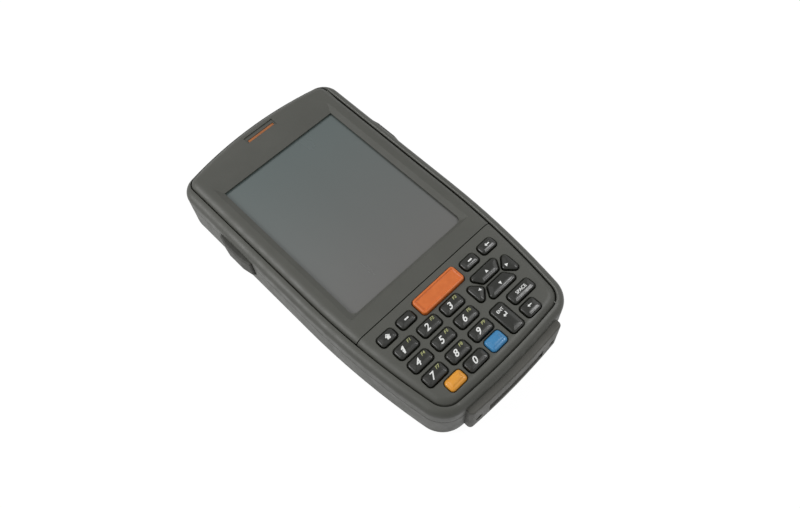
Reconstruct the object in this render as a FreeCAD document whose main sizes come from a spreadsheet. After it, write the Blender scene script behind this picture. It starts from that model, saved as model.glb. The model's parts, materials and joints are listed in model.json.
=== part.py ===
import FreeCAD, Part
import math
import os
import Sketcher

# Portable data terminal: a hand-held slab with a touch screen, a 24-key keypad and a scan
# engine in its head. X runs across the body, Y towards its top end and Z out of its face.
# The origin is under the middle of the body, on the plane that its back rests on.

# Driving sizes in millimetres: name, value and what it measures.
SIZES = (
    ("screen_width", 54.5, "visible screen, across"),
    ("screen_length", 72.5, "visible screen, along"),
    ("side_margin", 10.95, "from the screen's edge to the side of the body"),
    ("head_length", 19.85, "from the screen to the top end"),
    ("chin_length", 8.22, "from the screen down to the groove across the face"),
    ("keypad_length", 42.33, "from the groove to the bottom of the housing"),
    ("dock_depth", 2.7, "how far the dock block stands out of the bottom end"),
    ("top_bow_radius", 150.0, "bow of the top end"),
    ("bottom_bow_radius", 300.0, "bow of the bottom end"),
    ("top_corner_radius", 8.0, "upper corners of the body, in plan"),
    ("bottom_corner_radius", 10.5, "lower corners of the body, in plan"),
    ("taper_radius", 330.0, "curve that narrows the keypad end"),
    ("taper_rise", 22.8, "from the groove up to where the narrowing starts"),
    ("wall", 2.2, "side wall of both housing halves"),
    ("floor_thickness", 2.0, "back wall of the rear cover"),
    ("back_edge_radius", 5.0, "rounding round the back"),
    ("shoulder_radius", 3.2, "rounding outside the rim of the front cover"),
    ("crest_radius", 3.4, "rounding along the outside of the face parts"),
    ("rim_side", 3.4, "rim of the front cover at the sides"),
    ("rim_top", 1.4, "rim of the front cover at the top end"),
    ("rim_bottom", 2.9, "rim of the front cover at the bottom end"),
    ("rim_drop", 1.6, "height of the face above the rim"),
    ("seam_gap", 0.15, "gap between the face parts and the rim"),
    ("groove_gap", 0.4, "groove between the two face parts"),
    ("ledge_width", 2.0, "ledge that carries the face parts"),
    ("ledge_thickness", 1.2, "thickness of that ledge"),
    ("parting_chamfer", 0.3, "edge break along the parting line"),
    ("door_thickness", 1.6, "battery door"),
    ("door_gap", 0.3, "clearance round and above the battery door"),
    ("door_lap", 1.0, "how far the door laps over the battery bay's wall"),
    ("battery_width", 50.0, "battery pack, across"),
    ("battery_length", 58.0, "battery pack, along"),
    ("battery_thickness", 8.0, "battery pack"),
    ("battery_play", 0.3, "clearance round the battery pack"),
    ("battery_offset", 2.5, "battery pack's shift to the left"),
    ("battery_rise", 11.8, "from the groove up to the middle of the battery pack"),
    ("bay_wall", 1.6, "wall round the battery bay"),
    ("bay_roof", 1.2, "roof of the battery bay"),
    ("board_gap", 1.6, "from the bay's roof to the main board"),
    ("board_thickness", 1.2, "main board"),
    ("board_inset", 7.5, "from the body's outside to the main board's edge"),
    ("component_space", 3.8, "from the main board to the middle frame"),
    ("split_rise", 1.8, "from the main board to the parting line"),
    ("frame_thickness", 1.2, "middle frame"),
    ("frame_inset", 5.0, "from the body's outside to the middle frame's edge"),
    ("display_border", 2.95, "what the display modules add round the screen"),
    ("display_thickness", 2.2, "display module"),
    ("touch_thickness", 1.8, "touch panel"),
    ("gasket_thickness", 0.3, "gasket on the touch panel"),
    ("gasket_width", 2.2, "gasket on the touch panel"),
    ("lip_thickness", 0.6, "upright edge of the bezel at the screen"),
    ("slope_depth", 0.9, "depth of the sloping frame round the screen"),
    ("slope_side", 2.2, "sloping frame at the sides of the screen"),
    ("slope_top", 4.8, "sloping frame above the screen"),
    ("slope_bottom", 1.3, "sloping frame below the screen"),
    ("screen_corner", 2.4, "lower corners of the screen opening"),
    ("assembly_gap", 0.3, "clearance where an inner piece drops in"),
    ("indicator_width", 13.0, "indicator window"),
    ("indicator_depth", 1.3, "indicator window"),
    ("indicator_x", 1.0, "middle of the indicator window"),
    ("indicator_rise", 12.35, "from the screen up to the indicator window"),
    ("recess_depth", 0.4, "shallow recess round the indicator window"),
    ("recess_rise", 2.2, "recess above the indicator window"),
    ("plate_thickness", 2.0, "keypad bezel over the keys' flanges"),
    ("skirt", 1.8, "wall under the edge of the keypad bezel"),
    ("key_gap", 0.3, "clearance round and under each key cap"),
    ("key_travel", 0.7, "key travel"),
    ("key_flange", 0.7, "thickness of the flange that traps a key cap"),
    ("key_flange_side", 0.7, "flange beside a key cap"),
    ("arrow_flange", 0.4, "flange all round an arrow key"),
    ("key_proud", 1.2, "height of the key caps above the face"),
    ("scan_proud", 1.4, "height of the scan bar above the face"),
    ("key_corner", 1.3, "corners of the key caps, in plan"),
    ("key_crown", 0.9, "rounding round the top of the key caps"),
    ("web_bevel", 0.2, "bevel round the openings of the keys"),
    ("keypad_board_thickness", 1.0, "keypad board"),
    ("mat_thickness", 0.8, "silicone mat under the keys"),
    ("column_pitch", 11.15, "digit keys, across"),
    ("column_start", 22.9, "first digit column, left of the middle"),
    ("row_pitch", 6.7, "digit keys, along"),
    ("digit_drop", 13.5, "from the groove to the first digit row"),
    ("digit_width", 8.8, "digit key"),
    ("digit_depth", 4.8, "digit key"),
    ("top_row_drop", 6.3, "from the groove to the top key row"),
    ("small_width", 7.0, "small keys of the top row"),
    ("small_depth", 4.3, "small keys of the top row"),
    ("scan_width", 20.2, "scan bar"),
    ("scan_depth", 6.8, "scan bar"),
    ("dash_x", 15.85, "dash keys, from the middle"),
    ("home_x", 25.0, "home and back keys, from the middle"),
    ("last_row_drop", 33.1, "from the groove to the last key row"),
    ("amber_x", 19.5, "amber key, left of the middle"),
    ("amber_width", 7.4, "amber key"),
    ("amber_depth", 4.7, "amber key"),
    ("zero_x", 9.7, "zero key, left of the middle"),
    ("zero_depth", 4.6, "zero key"),
    ("blue_x", 0.1, "blue key, right of the middle"),
    ("blue_width", 7.3, "blue key"),
    ("blue_depth", 5.3, "blue key"),
    ("enter_x", 9.05, "enter key"),
    ("enter_drop", 30.1, "from the groove to the enter key"),
    ("enter_width", 6.0, "enter key"),
    ("enter_depth", 11.5, "enter key"),
    ("space_x", 20.0, "space key"),
    ("space_drop", 26.9, "from the groove to the space key"),
    ("space_width", 10.8, "space key"),
    ("space_depth", 4.7, "space key"),
    ("erase_x", 17.6, "erase key"),
    ("erase_drop", 33.3, "from the groove to the erase key"),
    ("erase_width", 6.8, "erase key"),
    ("erase_depth", 5.1, "erase key"),
    ("nav_x", 17.0, "middle of the arrow keys"),
    ("nav_drop", 16.6, "from the groove to the middle of the arrow keys"),
    ("side_arrow_reach", 10.1, "outer edge of the left and right arrow keys"),
    ("side_arrow_tip", 4.6, "inner tip of the left and right arrow keys"),
    ("side_arrow_half", 5.5, "half the height of the left and right arrow keys"),
    ("tall_arrow_outer", 5.75, "outer edge of the up and down arrow keys"),
    ("tall_arrow_inner", 0.72, "inner edge of the up and down arrow keys"),
    ("tall_arrow_wide", 7.2, "half the outer edge of the up and down arrow keys"),
    ("tall_arrow_narrow", 4.0, "half the inner edge of the up and down arrow keys"),
    ("side_button_drop", 18.95, "from the screen's top down to the side buttons"),
    ("left_button_length", 18.4, "left side button"),
    ("right_button_length", 20.4, "right side button"),
    ("side_button_proud", 2.0, "how far the side buttons stand out"),
    ("side_button_low", 10.0, "lower edge of the side buttons"),
    ("side_button_height", 8.7, "side buttons, from edge to edge"),
    ("side_button_flange", 1.0, "flange that traps a side button"),
    ("side_button_bend", 1.0, "how much lower a side button is at its ends"),
    ("side_button_travel", 1.0, "side button travel"),
    ("switch_depth", 5.3, "side switch, across"),
    ("switch_length", 6.0, "side switch, along"),
    ("switch_height", 3.0, "side switch"),
    ("boss_radius", 2.4, "screw boss"),
    ("boss_inset", 4.2, "from the body's outside to the screw bosses"),
    ("boss_joint_rise", 0.3, "from the main board to where the bosses meet"),
    ("upper_screw_drop", 18.8, "from the top end to the upper screws"),
    ("middle_screw_rise", 13.8, "from the groove up to the middle screws"),
    ("lower_screw_rise", 18.1, "from the bottom of the housing to the lower screws"),
    ("screw_radius", 0.95, "housing screw"),
    ("screw_head_radius", 1.7, "housing screw head"),
    ("screw_head_height", 1.4, "housing screw head"),
    ("screw_head_sink", 0.6, "how deep a screw head lies in the back"),
    ("screw_play", 0.1, "clearance round the screws"),
    ("insert_radius", 1.5, "threaded insert"),
    ("insert_length", 3.5, "threaded insert"),
    ("seal_inset", 0.7, "from the body's outside to the housing seal"),
    ("seal_width", 0.8, "housing seal"),
    ("seal_height", 0.8, "housing seal"),
    ("hinge_radius", 1.6, "barrel of the door hinge"),
    ("hinge_level", 1.8, "height of the hinge pins"),
    ("hinge_reach", 3.6, "from the door's edge to the hinge pins"),
    ("hinge_side_gap", 0.85, "clearance of the door's edge beside the hinge"),
    ("hinge_spread", 15.5, "from the door's middle to each hinge"),
    ("hinge_width", 8.0, "each hinge barrel"),
    ("hinge_block", 3.0, "housing beside each hinge barrel"),
    ("pin_radius", 0.75, "hinge pins"),
    ("pin_play", 0.05, "running clearance of the barrels on their pins"),
    ("notch_radius", 7.0, "finger notch at the battery door"),
    ("notch_depth", 0.9, "finger notch at the battery door"),
    ("contact_width", 12.0, "battery contact block"),
    ("contact_depth", 3.0, "battery contact block"),
    ("contact_height", 8.8, "battery contact block"),
    ("blade_count", 4.0, "battery contact blades"),
    ("blade_width", 1.2, "battery contact blade"),
    ("blade_thickness", 0.8, "battery contact blade"),
    ("blade_level", 4.2, "from the back wall to the contact blades"),
    ("engine_width", 20.8, "scan engine"),
    ("engine_length", 13.4, "scan engine"),
    ("engine_height", 8.4, "scan engine"),
    ("engine_rise", 2.2, "tray under the scan engine"),
    ("tray_wall", 1.6, "side of the tray under the scan engine"),
    ("tray_height", 8.0, "tray under the scan engine"),
    ("window_width", 24.4, "scan window pane"),
    ("window_height", 8.8, "scan window pane"),
    ("window_thickness", 1.2, "scan window pane"),
    ("window_lap", 0.9, "how far the housing laps over the pane"),
    ("window_seat", 2.6, "from the top end to the pane"),
    ("speaker_radius", 9.0, "speaker"),
    ("speaker_height", 4.0, "speaker"),
    ("speaker_x", 17.0, "speaker, left of the middle"),
    ("speaker_drop", 34.8, "from the top end to the speaker"),
    ("grille_hole_radius", 0.6, "speaker hole"),
    ("grille_pitch", 2.4, "speaker holes"),
    ("stylus_radius", 2.0, "stylus"),
    ("stylus_play", 0.3, "clearance round the stylus"),
    ("stylus_x", 27.8, "stylus, right of the middle"),
    ("stylus_level", 8.0, "height of the stylus"),
    ("stylus_length", 94.5, "stylus"),
    ("stylus_inset", 3.3, "from the top end to the stylus's head"),
    ("stylus_tip", 5.0, "tapered tip of the stylus"),
    ("tube_wall", 0.8, "stylus tube"),
    ("tube_inset", 9.3, "from the top end to the stylus tube"),
    ("dock_width", 46.0, "dock block"),
    ("dock_low", 3.6, "lower edge of the dock block"),
    ("dock_height", 16.0, "dock block, from edge to edge"),
    ("dock_corner", 1.6, "corners of the dock block"),
    ("dock_edge", 0.8, "rounding along the dock block's face"),
    ("port_width", 30.0, "dock connector"),
    ("port_height", 7.4, "dock connector"),
    ("port_length", 9.0, "dock connector"),
    ("port_shell", 1.0, "shell of the dock connector"),
    ("port_inset", 0.6, "from the bottom of the housing to the dock connector"),
    ("guide_radius", 1.5, "cradle guide holes"),
    ("guide_spread", 19.0, "from the middle to each cradle guide hole"),
    ("cell_radius", 6.2, "backup cell"),
    ("cell_height", 2.0, "backup cell"),
    ("cell_x", 17.0, "backup cell, right of the middle"),
    ("cell_rise", 7.0, "from the groove up to the backup cell"),
    ("can_width", 22.0, "shield cans"),
    ("can_length", 18.0, "shield cans"),
    ("can_height", 1.8, "shield cans"),
    ("can_x", 13.0, "shield cans, left of the middle"),
    ("can_spacing", 26.0, "from one shield can to the other"),
    ("radio_width", 17.0, "radio module"),
    ("radio_length", 19.0, "radio module"),
    ("radio_height", 2.4, "radio module"),
    ("radio_x", 10.0, "radio module, right of the middle"),
    ("radio_drop", 47.0, "from the top end to the radio module"),
    ("socket_width", 15.0, "memory card socket"),
    ("socket_length", 16.0, "memory card socket"),
    ("socket_height", 2.4, "memory card socket"),
    ("socket_x", 14.0, "memory card socket, right of the middle"),
    ("microphone_radius", 2.5, "microphone"),
    ("microphone_height", 1.6, "microphone"),
    ("microphone_x", 11.5, "microphone, right of the middle"),
    ("indicator_chip", 1.0, "indicator lamp on the main board"),
    ("post_radius", 2.0, "posts under the main board"),
    ("post_inset", 4.0, "from the battery bay's corners to the posts on its roof"),
    ("rib_thickness", 2.0, "ribs that carry the stylus tube"),
)

ORIGIN_POINT = -1
START = 1
END = 2
CENTRE = 3
NEAR = 1e-4


class Size:
    """A length that keeps its number together with the sheet formula it comes from."""

    def __init__(self, value, formula):
        self.value = float(value)
        self.formula = formula

    def joined(self, other, sign, value):
        """Return a size made from this one and another by the given arithmetic sign."""
        return Size(value, f"({self.formula} {sign} {other.formula})")

    def __add__(self, other):
        other = as_size(other)
        return self.joined(other, "+", self.value + other.value)

    def __sub__(self, other):
        other = as_size(other)
        return self.joined(other, "-", self.value - other.value)

    def __mul__(self, factor):
        other = as_size(factor)
        return self.joined(other, "*", self.value * other.value)

    def __truediv__(self, divisor):
        other = as_size(divisor)
        return self.joined(other, "/", self.value / other.value)

    def __neg__(self):
        return Size(-self.value, f"(0 - {self.formula})")


def as_size(number):
    """Return a plain number as a size, and a size as it is."""
    if isinstance(number, Size):
        return number
    return Size(number, f"({float(number):.9f})")


document = FreeCAD.newDocument("data_terminal")
sheet = document.addObject("Spreadsheet::Sheet", "Sizes")
for row, (size_name, size_value, meaning) in enumerate(SIZES, start=1):
    sheet.set(f"A{row}", size_name.replace("_", " "))
    sheet.set(f"B{row}", str(size_value))
    sheet.setAlias(f"B{row}", size_name)
    sheet.set(f"C{row}", meaning)
document.recompute()


def size(name):
    """Return a driving size by its name in the sheet."""
    return Size(sheet.get(name), f"Sizes.{name}")


def bind(thing, path, length):
    """Tie one property of an object to the sheet."""
    thing.setExpression(path, as_size(length).formula)


# Plan view, from the top end down.
total_length = (size("head_length") + size("screen_length") + size("chin_length")
                + size("keypad_length") + size("dock_depth"))
top_y = total_length / 2
screen_top = top_y - size("head_length")
screen_bottom = screen_top - size("screen_length")
groove_y = screen_bottom - size("chin_length")
housing_bottom = groove_y - size("keypad_length")
half_width = size("screen_width") / 2 + size("side_margin")
screen_half = size("screen_width") / 2
middle = as_size(0)

# Heights, from the back to the face.
bay_floor = size("door_thickness") + size("door_gap")
bay_ceiling = bay_floor + size("battery_thickness") + size("battery_play")
bay_top = bay_ceiling + size("bay_roof")
board_bottom = bay_top + size("board_gap")
board_top = board_bottom + size("board_thickness")
split_level = board_top + size("split_rise")
boss_joint = board_top + size("boss_joint_rise")
frame_bottom = board_top + size("component_space")
frame_top = frame_bottom + size("frame_thickness")
ledge_top = frame_top + size("ledge_thickness")
display_top = frame_top + size("display_thickness")
touch_top = display_top + size("touch_thickness")
lip_bottom = touch_top + size("gasket_thickness")
slope_foot = lip_bottom + size("lip_thickness")
face_level = slope_foot + size("slope_depth")
rim_level = face_level - size("rim_drop")
plate_bottom = face_level - size("plate_thickness")
flange_top = plate_bottom - size("key_gap")
flange_bottom = flange_top - size("key_flange")
keypad_board_top = frame_top + size("keypad_board_thickness")
mat_top = keypad_board_top + size("mat_thickness")


class Outline:
    """The plan outline of the body, or of a piece that follows it some way further in."""

    def __init__(self, side=0.0, top=0.0, bottom=0.0):
        corner_inset = side
        self.half = half_width.value - side
        self.top = top_y.value - top
        self.bottom = housing_bottom.value + bottom
        self.top_radius = size("top_bow_radius").value - top
        self.bottom_radius = size("bottom_bow_radius").value - bottom
        self.top_corner = max(size("top_corner_radius").value - corner_inset, 1.0)
        self.bottom_corner = max(size("bottom_corner_radius").value - corner_inset, 1.0)
        self.taper_radius = size("taper_radius").value - side
        self.taper_start = (groove_y + size("taper_rise")).value

    def half_width_at(self, y):
        """Return how far the outline reaches from the middle at a place along the body."""
        drop = max(self.taper_start - y, 0.0)
        return self.half - self.taper_radius + math.sqrt(self.taper_radius ** 2 - drop ** 2)

    def corner_centres(self):
        """Return the centres of the top and bottom corner arcs on the right side."""
        top_x = self.half - self.top_corner
        reach = self.top_radius - self.top_corner
        top_centre = (top_x, self.top - self.top_radius + math.sqrt(reach ** 2 - top_x ** 2))
        taper_centre = (self.half - self.taper_radius, self.taper_start)
        bow_centre = (0.0, self.bottom + self.bottom_radius)
        taper_reach = self.taper_radius - self.bottom_corner
        bow_reach = self.bottom_radius - self.bottom_corner
        span_x = bow_centre[0] - taper_centre[0]
        span_y = bow_centre[1] - taper_centre[1]
        span = math.hypot(span_x, span_y)
        along = (taper_reach ** 2 - bow_reach ** 2 + span ** 2) / (2 * span)
        aside = math.sqrt(taper_reach ** 2 - along ** 2)
        foot = (taper_centre[0] + along * span_x / span, taper_centre[1] + along * span_y / span)
        bottom_centre = (foot[0] + aside * span_y / span, foot[1] - aside * span_x / span)
        return top_centre, bottom_centre

    def edges(self):
        """Return the outline's arcs and straight sides as a closed run of curves."""
        top_centre, bottom_centre = self.corner_centres()
        crown = (0.0, self.top - self.top_radius)
        bow = (0.0, self.bottom + self.bottom_radius)
        taper = (self.half - self.taper_radius, self.taper_start)
        top_angle = angle_to(crown, top_centre)
        taper_angle = angle_to(taper, bottom_centre)
        bow_angle = angle_to(bow, bottom_centre)
        side_top = (self.half, top_centre[1])
        side_foot = (self.half, self.taper_start)
        right = [arc(top_centre, self.top_corner, 0.0, top_angle),
                 line(side_foot, side_top),
                 arc(taper, self.taper_radius, taper_angle, 0.0),
                 arc(bottom_centre, self.bottom_corner, bow_angle, taper_angle)]
        left = [arc(mirrored(top_centre), self.top_corner, math.pi - top_angle, math.pi),
                line(mirrored(side_top), mirrored(side_foot)),
                arc(mirrored(taper), self.taper_radius, math.pi, math.pi - taper_angle),
                arc(mirrored(bottom_centre), self.bottom_corner, math.pi - taper_angle,
                    math.pi - bow_angle)]
        crown_arc = arc(crown, self.top_radius, top_angle, math.pi - top_angle)
        bow_arc = arc(bow, self.bottom_radius, math.pi - bow_angle, bow_angle)
        return right + [crown_arc] + left + [bow_arc]


def angle_to(start, end):
    """Return the direction from one point to another, in radians."""
    return math.atan2(end[1] - start[1], end[0] - start[0])


def mirrored(point):
    """Return a plan point on the other side of the middle."""
    return (-point[0], point[1])


def line(start, end):
    """Return a straight plan line."""
    return Part.LineSegment(FreeCAD.Vector(*start, 0), FreeCAD.Vector(*end, 0))


def arc(centre, radius, first, last):
    """Return a plan arc that turns anticlockwise from one direction to another."""
    circle = Part.Circle(FreeCAD.Vector(*centre, 0), FreeCAD.Vector(0, 0, 1), radius)
    return Part.ArcOfCircle(circle, first, last)


body_outline = Outline()
panel_outline = Outline(size("rim_side").value, size("rim_top").value, size("rim_bottom").value)


def inset_outline(base, inset):
    """Return an outline that lies the given way inside the body's or the panel's outline."""
    if base is panel_outline:
        return Outline(size("rim_side").value + inset, size("rim_top").value + inset,
                       size("rim_bottom").value + inset)
    return Outline(inset, inset, inset)


def new_body(label):
    """Start a piece that is built from sketches."""
    body = document.addObject("PartDesign::Body", label)
    body.Label = label
    return body


def new_sketch(body, name, level, plane="XY_Plane"):
    """Start a sketch on one of a body's own planes, moved to a level along its normal."""
    sketch = body.newObject("Sketcher::SketchObject", f"{body.Label}_{name}")
    support = [feature for feature in body.Origin.OriginFeatures if feature.Role == plane][0]
    sketch.AttachmentSupport = (support, [""])
    sketch.MapMode = "FlatFace"
    bind(sketch, "AttachmentOffset.Base.z", level)
    return sketch


def fix_coordinate(sketch, kind, geometry, point, coordinate):
    """Tie one coordinate of a sketch point to the sheet."""
    coordinate = as_size(coordinate)
    constraint = Sketcher.Constraint(kind, ORIGIN_POINT, START, geometry, point, coordinate.value)
    index = sketch.addConstraint(constraint)
    bind(sketch, f"Constraints[{index}]", coordinate)


def add_polygon(sketch, points):
    """Draw a closed polygon whose corners are tied to the sheet."""
    first = sketch.GeometryCount
    count = len(points)
    for number, (x, y) in enumerate(points):
        next_x, next_y = points[(number + 1) % count]
        sketch.addGeometry(line((x.value, y.value), (next_x.value, next_y.value)), False)
    for number in range(count):
        follower = first + (number + 1) % count
        sketch.addConstraint(Sketcher.Constraint("Coincident", first + number, END, follower, START))
    for number, (x, y) in enumerate(points):
        fix_coordinate(sketch, "DistanceX", first + number, START, x)
        fix_coordinate(sketch, "DistanceY", first + number, START, y)


def add_rectangle(sketch, left, right, low, high):
    """Draw a rectangle whose sides are tied to the sheet."""
    corners = [(left, low), (right, low), (right, high), (left, high)]
    add_polygon(sketch, [(as_size(x), as_size(y)) for x, y in corners])


def add_circle(sketch, x, y, radius):
    """Draw a circle whose place and radius are tied to the sheet."""
    x, y, radius = as_size(x), as_size(y), as_size(radius)
    centre = FreeCAD.Vector(x.value, y.value, 0)
    number = sketch.addGeometry(Part.Circle(centre, FreeCAD.Vector(0, 0, 1), radius.value), False)
    index = sketch.addConstraint(Sketcher.Constraint("Radius", number, radius.value))
    bind(sketch, f"Constraints[{index}]", radius)
    fix_coordinate(sketch, "DistanceX", number, CENTRE, x)
    fix_coordinate(sketch, "DistanceY", number, CENTRE, y)


def add_outline(sketch, outline):
    """Draw a body outline."""
    for edge in outline.edges():
        sketch.addGeometry(edge, False)


def pad(body, sketch, height, down=False):
    """Add material to a body, from a sketch along its normal, or against it if down is set."""
    feature = body.newObject("PartDesign::Pad", f"{sketch.Name}_pad")
    feature.Profile = sketch
    bind(feature, "Length", height)
    feature.Reversed = down
    sketch.Visibility = False
    return feature


def pocket(body, sketch, depth, up=False):
    """Cut a body from a sketch against its normal, or along it if up is set."""
    feature = body.newObject("PartDesign::Pocket", f"{sketch.Name}_pocket")
    feature.Profile = sketch
    bind(feature, "Length", depth)
    feature.Reversed = up
    sketch.Visibility = False
    return feature


def edges_where(feature, test):
    """Return the names of a feature's edges that pass a test."""
    document.recompute()
    numbered = enumerate(feature.Shape.Edges, start=1)
    return [f"Edge{number}" for number, edge in numbered if test(edge)]


def lies_level(edge, level):
    """Tell whether an edge lies flat at the given height."""
    box = edge.BoundBox
    return abs(box.ZMin - level.value) < NEAR and abs(box.ZMax - level.value) < NEAR


def stands_upright(edge):
    """Tell whether an edge runs straight up."""
    box = edge.BoundBox
    return box.XLength < NEAR and box.YLength < NEAR and box.ZLength > NEAR


def round_edges(body, feature, names, radius, name="round"):
    """Round the named edges of a body's last feature."""
    fillet = body.newObject("PartDesign::Fillet", f"{body.Label}_{name}")
    fillet.Base = (feature, names)
    bind(fillet, "Radius", radius)
    return fillet


def bevel_edges(body, feature, names, width, name="bevel"):
    """Break the named edges of a body's last feature."""
    chamfer = body.newObject("PartDesign::Chamfer", f"{body.Label}_{name}")
    chamfer.Base = (feature, names)
    bind(chamfer, "Size", width)
    return chamfer


def box(label, left, right, low, high, bottom, top):
    """Make a block between the given sides."""
    block = document.addObject("Part::Box", label)
    block.Label = label
    sides = ((left, right, "x", "Length"), (low, high, "y", "Width"), (bottom, top, "z", "Height"))
    for start, end, axis, extent in sides:
        start, end = as_size(start), as_size(end)
        bind(block, extent, end - start)
        bind(block, f"Placement.Base.{axis}", start)
    return block


def block_at(label, x, y, width, length, bottom, top):
    """Make a block round a plan point."""
    return box(label, x - width / 2, x + width / 2, y - length / 2, y + length / 2, bottom, top)


def cylinder(label, x, y, z, radius, height, along_y=False):
    """Make a round bar that stands up from a point, or lies towards the top end."""
    bar = document.addObject("Part::Cylinder", label)
    bar.Label = label
    if along_y:
        turn = FreeCAD.Rotation(FreeCAD.Vector(1, 0, 0), -90)
        bar.Placement = FreeCAD.Placement(FreeCAD.Vector(0, 0, 0), turn)
    bind(bar, "Radius", radius)
    bind(bar, "Height", height)
    for axis, place in (("x", x), ("y", y), ("z", z)):
        bind(bar, f"Placement.Base.{axis}", place)
    return bar


def across_bar(label, left, right, y, z, radius):
    """Make a round bar that lies across the body."""
    bar = document.addObject("Part::Cylinder", label)
    bar.Label = label
    turn = FreeCAD.Rotation(FreeCAD.Vector(0, 1, 0), 90)
    bar.Placement = FreeCAD.Placement(FreeCAD.Vector(0, 0, 0), turn)
    bind(bar, "Radius", radius)
    bind(bar, "Height", right - left)
    for axis, place in (("x", left), ("y", y), ("z", z)):
        bind(bar, f"Placement.Base.{axis}", place)
    return bar


def fused(label, pieces):
    """Join pieces that grow out of each other into one solid."""
    whole = document.addObject("Part::MultiFuse", label)
    whole.Label = label
    whole.Shapes = pieces
    whole.Refine = True
    return whole


def grouped(label, pieces):
    """Keep like pieces that don't touch as one group of solids."""
    group = document.addObject("Part::Compound", label)
    group.Label = label
    group.Links = pieces
    return group


def cut(label, base, tools):
    """Take tool shapes away from a piece."""
    tool = tools[0]
    if len(tools) > 1:
        tool = fused(f"{label}_tools", tools)
    result = document.addObject("Part::Cut", label)
    result.Label = label
    result.Base = base
    result.Tool = tool
    return result


nodes = []


def keep(piece):
    """Add a finished piece to the nodes that are written out."""
    nodes.append(piece)
    return piece


# Places that several pieces share.
battery_x = -size("battery_offset")
battery_y = groove_y + size("battery_rise")
battery_left = battery_x - size("battery_width") / 2
battery_right = battery_x + size("battery_width") / 2
battery_low = battery_y - size("battery_length") / 2
battery_high = battery_y + size("battery_length") / 2
bay_left = battery_left - size("battery_play")
bay_right = battery_right + size("battery_play")
bay_low = battery_low - size("battery_play")
bay_high = battery_high + size("battery_play")
recess_left = bay_left - size("door_lap")
recess_right = bay_right + size("door_lap")
recess_low = bay_low - size("door_lap")
recess_high = bay_high + size("door_lap")
door_low = recess_low + size("hinge_side_gap")
hinge_y = door_low - size("hinge_reach")
hinge_clear = size("hinge_radius") + size("door_gap")
hinge_middles = (battery_x - size("hinge_spread"), battery_x + size("hinge_spread"))
hinge_half = size("hinge_width") / 2
side_button_y = screen_top - size("side_button_drop")
side_button_top = size("side_button_low") + size("side_button_height")
speaker_y = top_y - size("speaker_drop")
engine_front = top_y - size("window_seat") - size("window_thickness")
engine_back = engine_front - size("engine_length")
engine_bottom = size("floor_thickness") + size("engine_rise")
window_bottom = engine_bottom + (size("engine_height") - size("window_height")) / 2
indicator_y = screen_top + size("indicator_rise")
port_bottom = board_bottom - size("port_height")
port_half = size("port_width") / 2
tube_radius = size("stylus_radius") + size("stylus_play") + size("tube_wall")
stylus_head = top_y - size("stylus_inset")
stylus_tip_end = stylus_head - size("stylus_length")
tube_top = top_y - size("tube_inset")
tube_low = stylus_tip_end - size("stylus_tip")
screw_rows = (top_y - size("upper_screw_drop"), groove_y + size("middle_screw_rise"),
              housing_bottom + size("lower_screw_rise"))


def screw_places():
    """Return the plan places of the housing screws."""
    places = []
    for y in screw_rows:
        narrowing = half_width.value - body_outline.half_width_at(y.value)
        x = half_width - size("boss_inset") - narrowing
        places.extend([(-x, y), (x, y)])
    return places


def button_side(side):
    """Return which length of side button belongs to a side of the body."""
    return size("left_button_length") if side < 0 else size("right_button_length")


def button_window(sketch, side, gap):
    """Draw the plan opening that a side button passes through."""
    half = button_side(side) / 2 + gap
    inner = (half_width - size("rim_side") - size("ledge_width")) * side
    outer = (half_width + size("side_button_proud")) * side
    left, right = (outer, inner) if side < 0 else (inner, outer)
    add_rectangle(sketch, left, right, side_button_y - half, side_button_y + half)


def grille_places():
    """Return the places of the speaker holes, in rings round one in the middle."""
    places = [(0.0, 0.0)]
    for ring in (1, 2):
        for step in range(6 * ring):
            angle = math.tau * step / (6 * ring)
            places.append((ring * math.cos(angle), ring * math.sin(angle)))
    return places


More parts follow.
